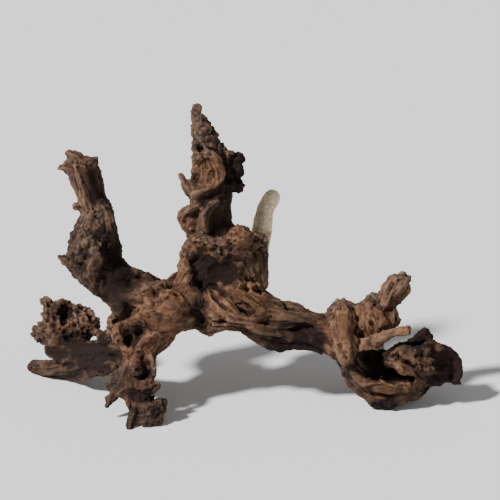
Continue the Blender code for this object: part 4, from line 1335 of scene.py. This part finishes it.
def thin(thing, limit):
    """Takes triangles out where the skin is flattest, down to the limit."""
    count = sum(len(face.vertices) - 2 for face in thing.data.polygons)
    fewer = thing.modifiers.new("thin", "DECIMATE")
    fewer.ratio = min(1, limit / count)


thin(full_skin, TRIANGLE_LIMIT)
final_mesh = plain_mesh(full_skin)
final_mesh.name = "driftwood_skin"
bpy.data.objects.remove(full_skin)
print("skin:", len(final_mesh.polygons), "faces,", list(final_mesh.attributes.keys()))

# %% [markdown]
# ## Onto the frame
#
# Both meshes already lie where the imported solid lies, so nothing is moved. Each piece is parented
# to the body it rides on, and the imported driftwood node is hidden. The skin and the fibres stand
# for the same node together.

# %% Pieces
def smooth_faces(mesh):
    """Shades every face smoothly."""
    mesh.polygons.foreach_set("use_smooth", [True] * len(mesh.polygons))
    mesh.update()


driftwood_skin = new_object("driftwood_skin", final_mesh)
loose_fibres = new_object("loose_fibres", fibre_mesh)
for piece in (driftwood_skin, loose_fibres):
    smooth_faces(piece.data)
    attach(piece, "root")
    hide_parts("driftwood")
print("pieces:", driftwood_skin.name, "and", loose_fibres.name)

# %% [markdown]
# ## Floor and light
#
# The wood stands on a pale floor of matt card. A sun high on the left draws the relief, and it is
# six degrees wide, so its shade has soft edges. Weak, even light from all round keeps the hollows
# from going black. More lamps would fill the hollows and flatten the wood.

# %% Studio
FLOOR_SIDE = 12.0
SUN_SPOT, SUN_STRENGTH, SUN_WIDTH = (-1.45, -0.85, 1.6), 6.0, 6
SKY_STRENGTH = 0.27


def paint(name, colour, roughness):
    """A plain matt paint."""
    material = bpy.data.materials.new(name)
    material.use_nodes = True
    shader = material.node_tree.nodes["Principled BSDF"]
    shader.inputs["Base Color"].default_value = linear(colour)
    shader.inputs["Roughness"].default_value = roughness
    return material


def add_floor(side):
    """A wide pale floor at the wood's feet."""
    bpy.ops.mesh.primitive_plane_add(size=side)
    floor = bpy.context.object
    floor.name = "floor"
    floor.data.materials.append(paint("white_card", "#f2f2f2", 0.9))


def add_sun(spot, strength, width):
    """A sun lamp, width degrees wide, shining from spot towards the middle of the floor."""
    data = bpy.data.lights.new("key", "SUN")
    data.energy = strength
    data.angle = math.radians(width)
    lamp = new_object("key", data)
    lamp.rotation_euler = (-Vector(spot)).to_track_quat("-Z", "Y").to_euler()


def light_world(colour, strength):
    """Even light from all round."""
    world = bpy.data.worlds.new("studio")
    world.use_nodes = True
    background = world.node_tree.nodes["Background"]
    background.inputs["Color"].default_value = linear(colour)
    background.inputs["Strength"].default_value = strength
    bpy.context.scene.world = world


add_floor(FLOOR_SIDE)
add_sun(SUN_SPOT, SUN_STRENGTH, SUN_WIDTH)
light_world("#ffffff", SKY_STRENGTH)
print("studio: floor, sun lamp, even light")
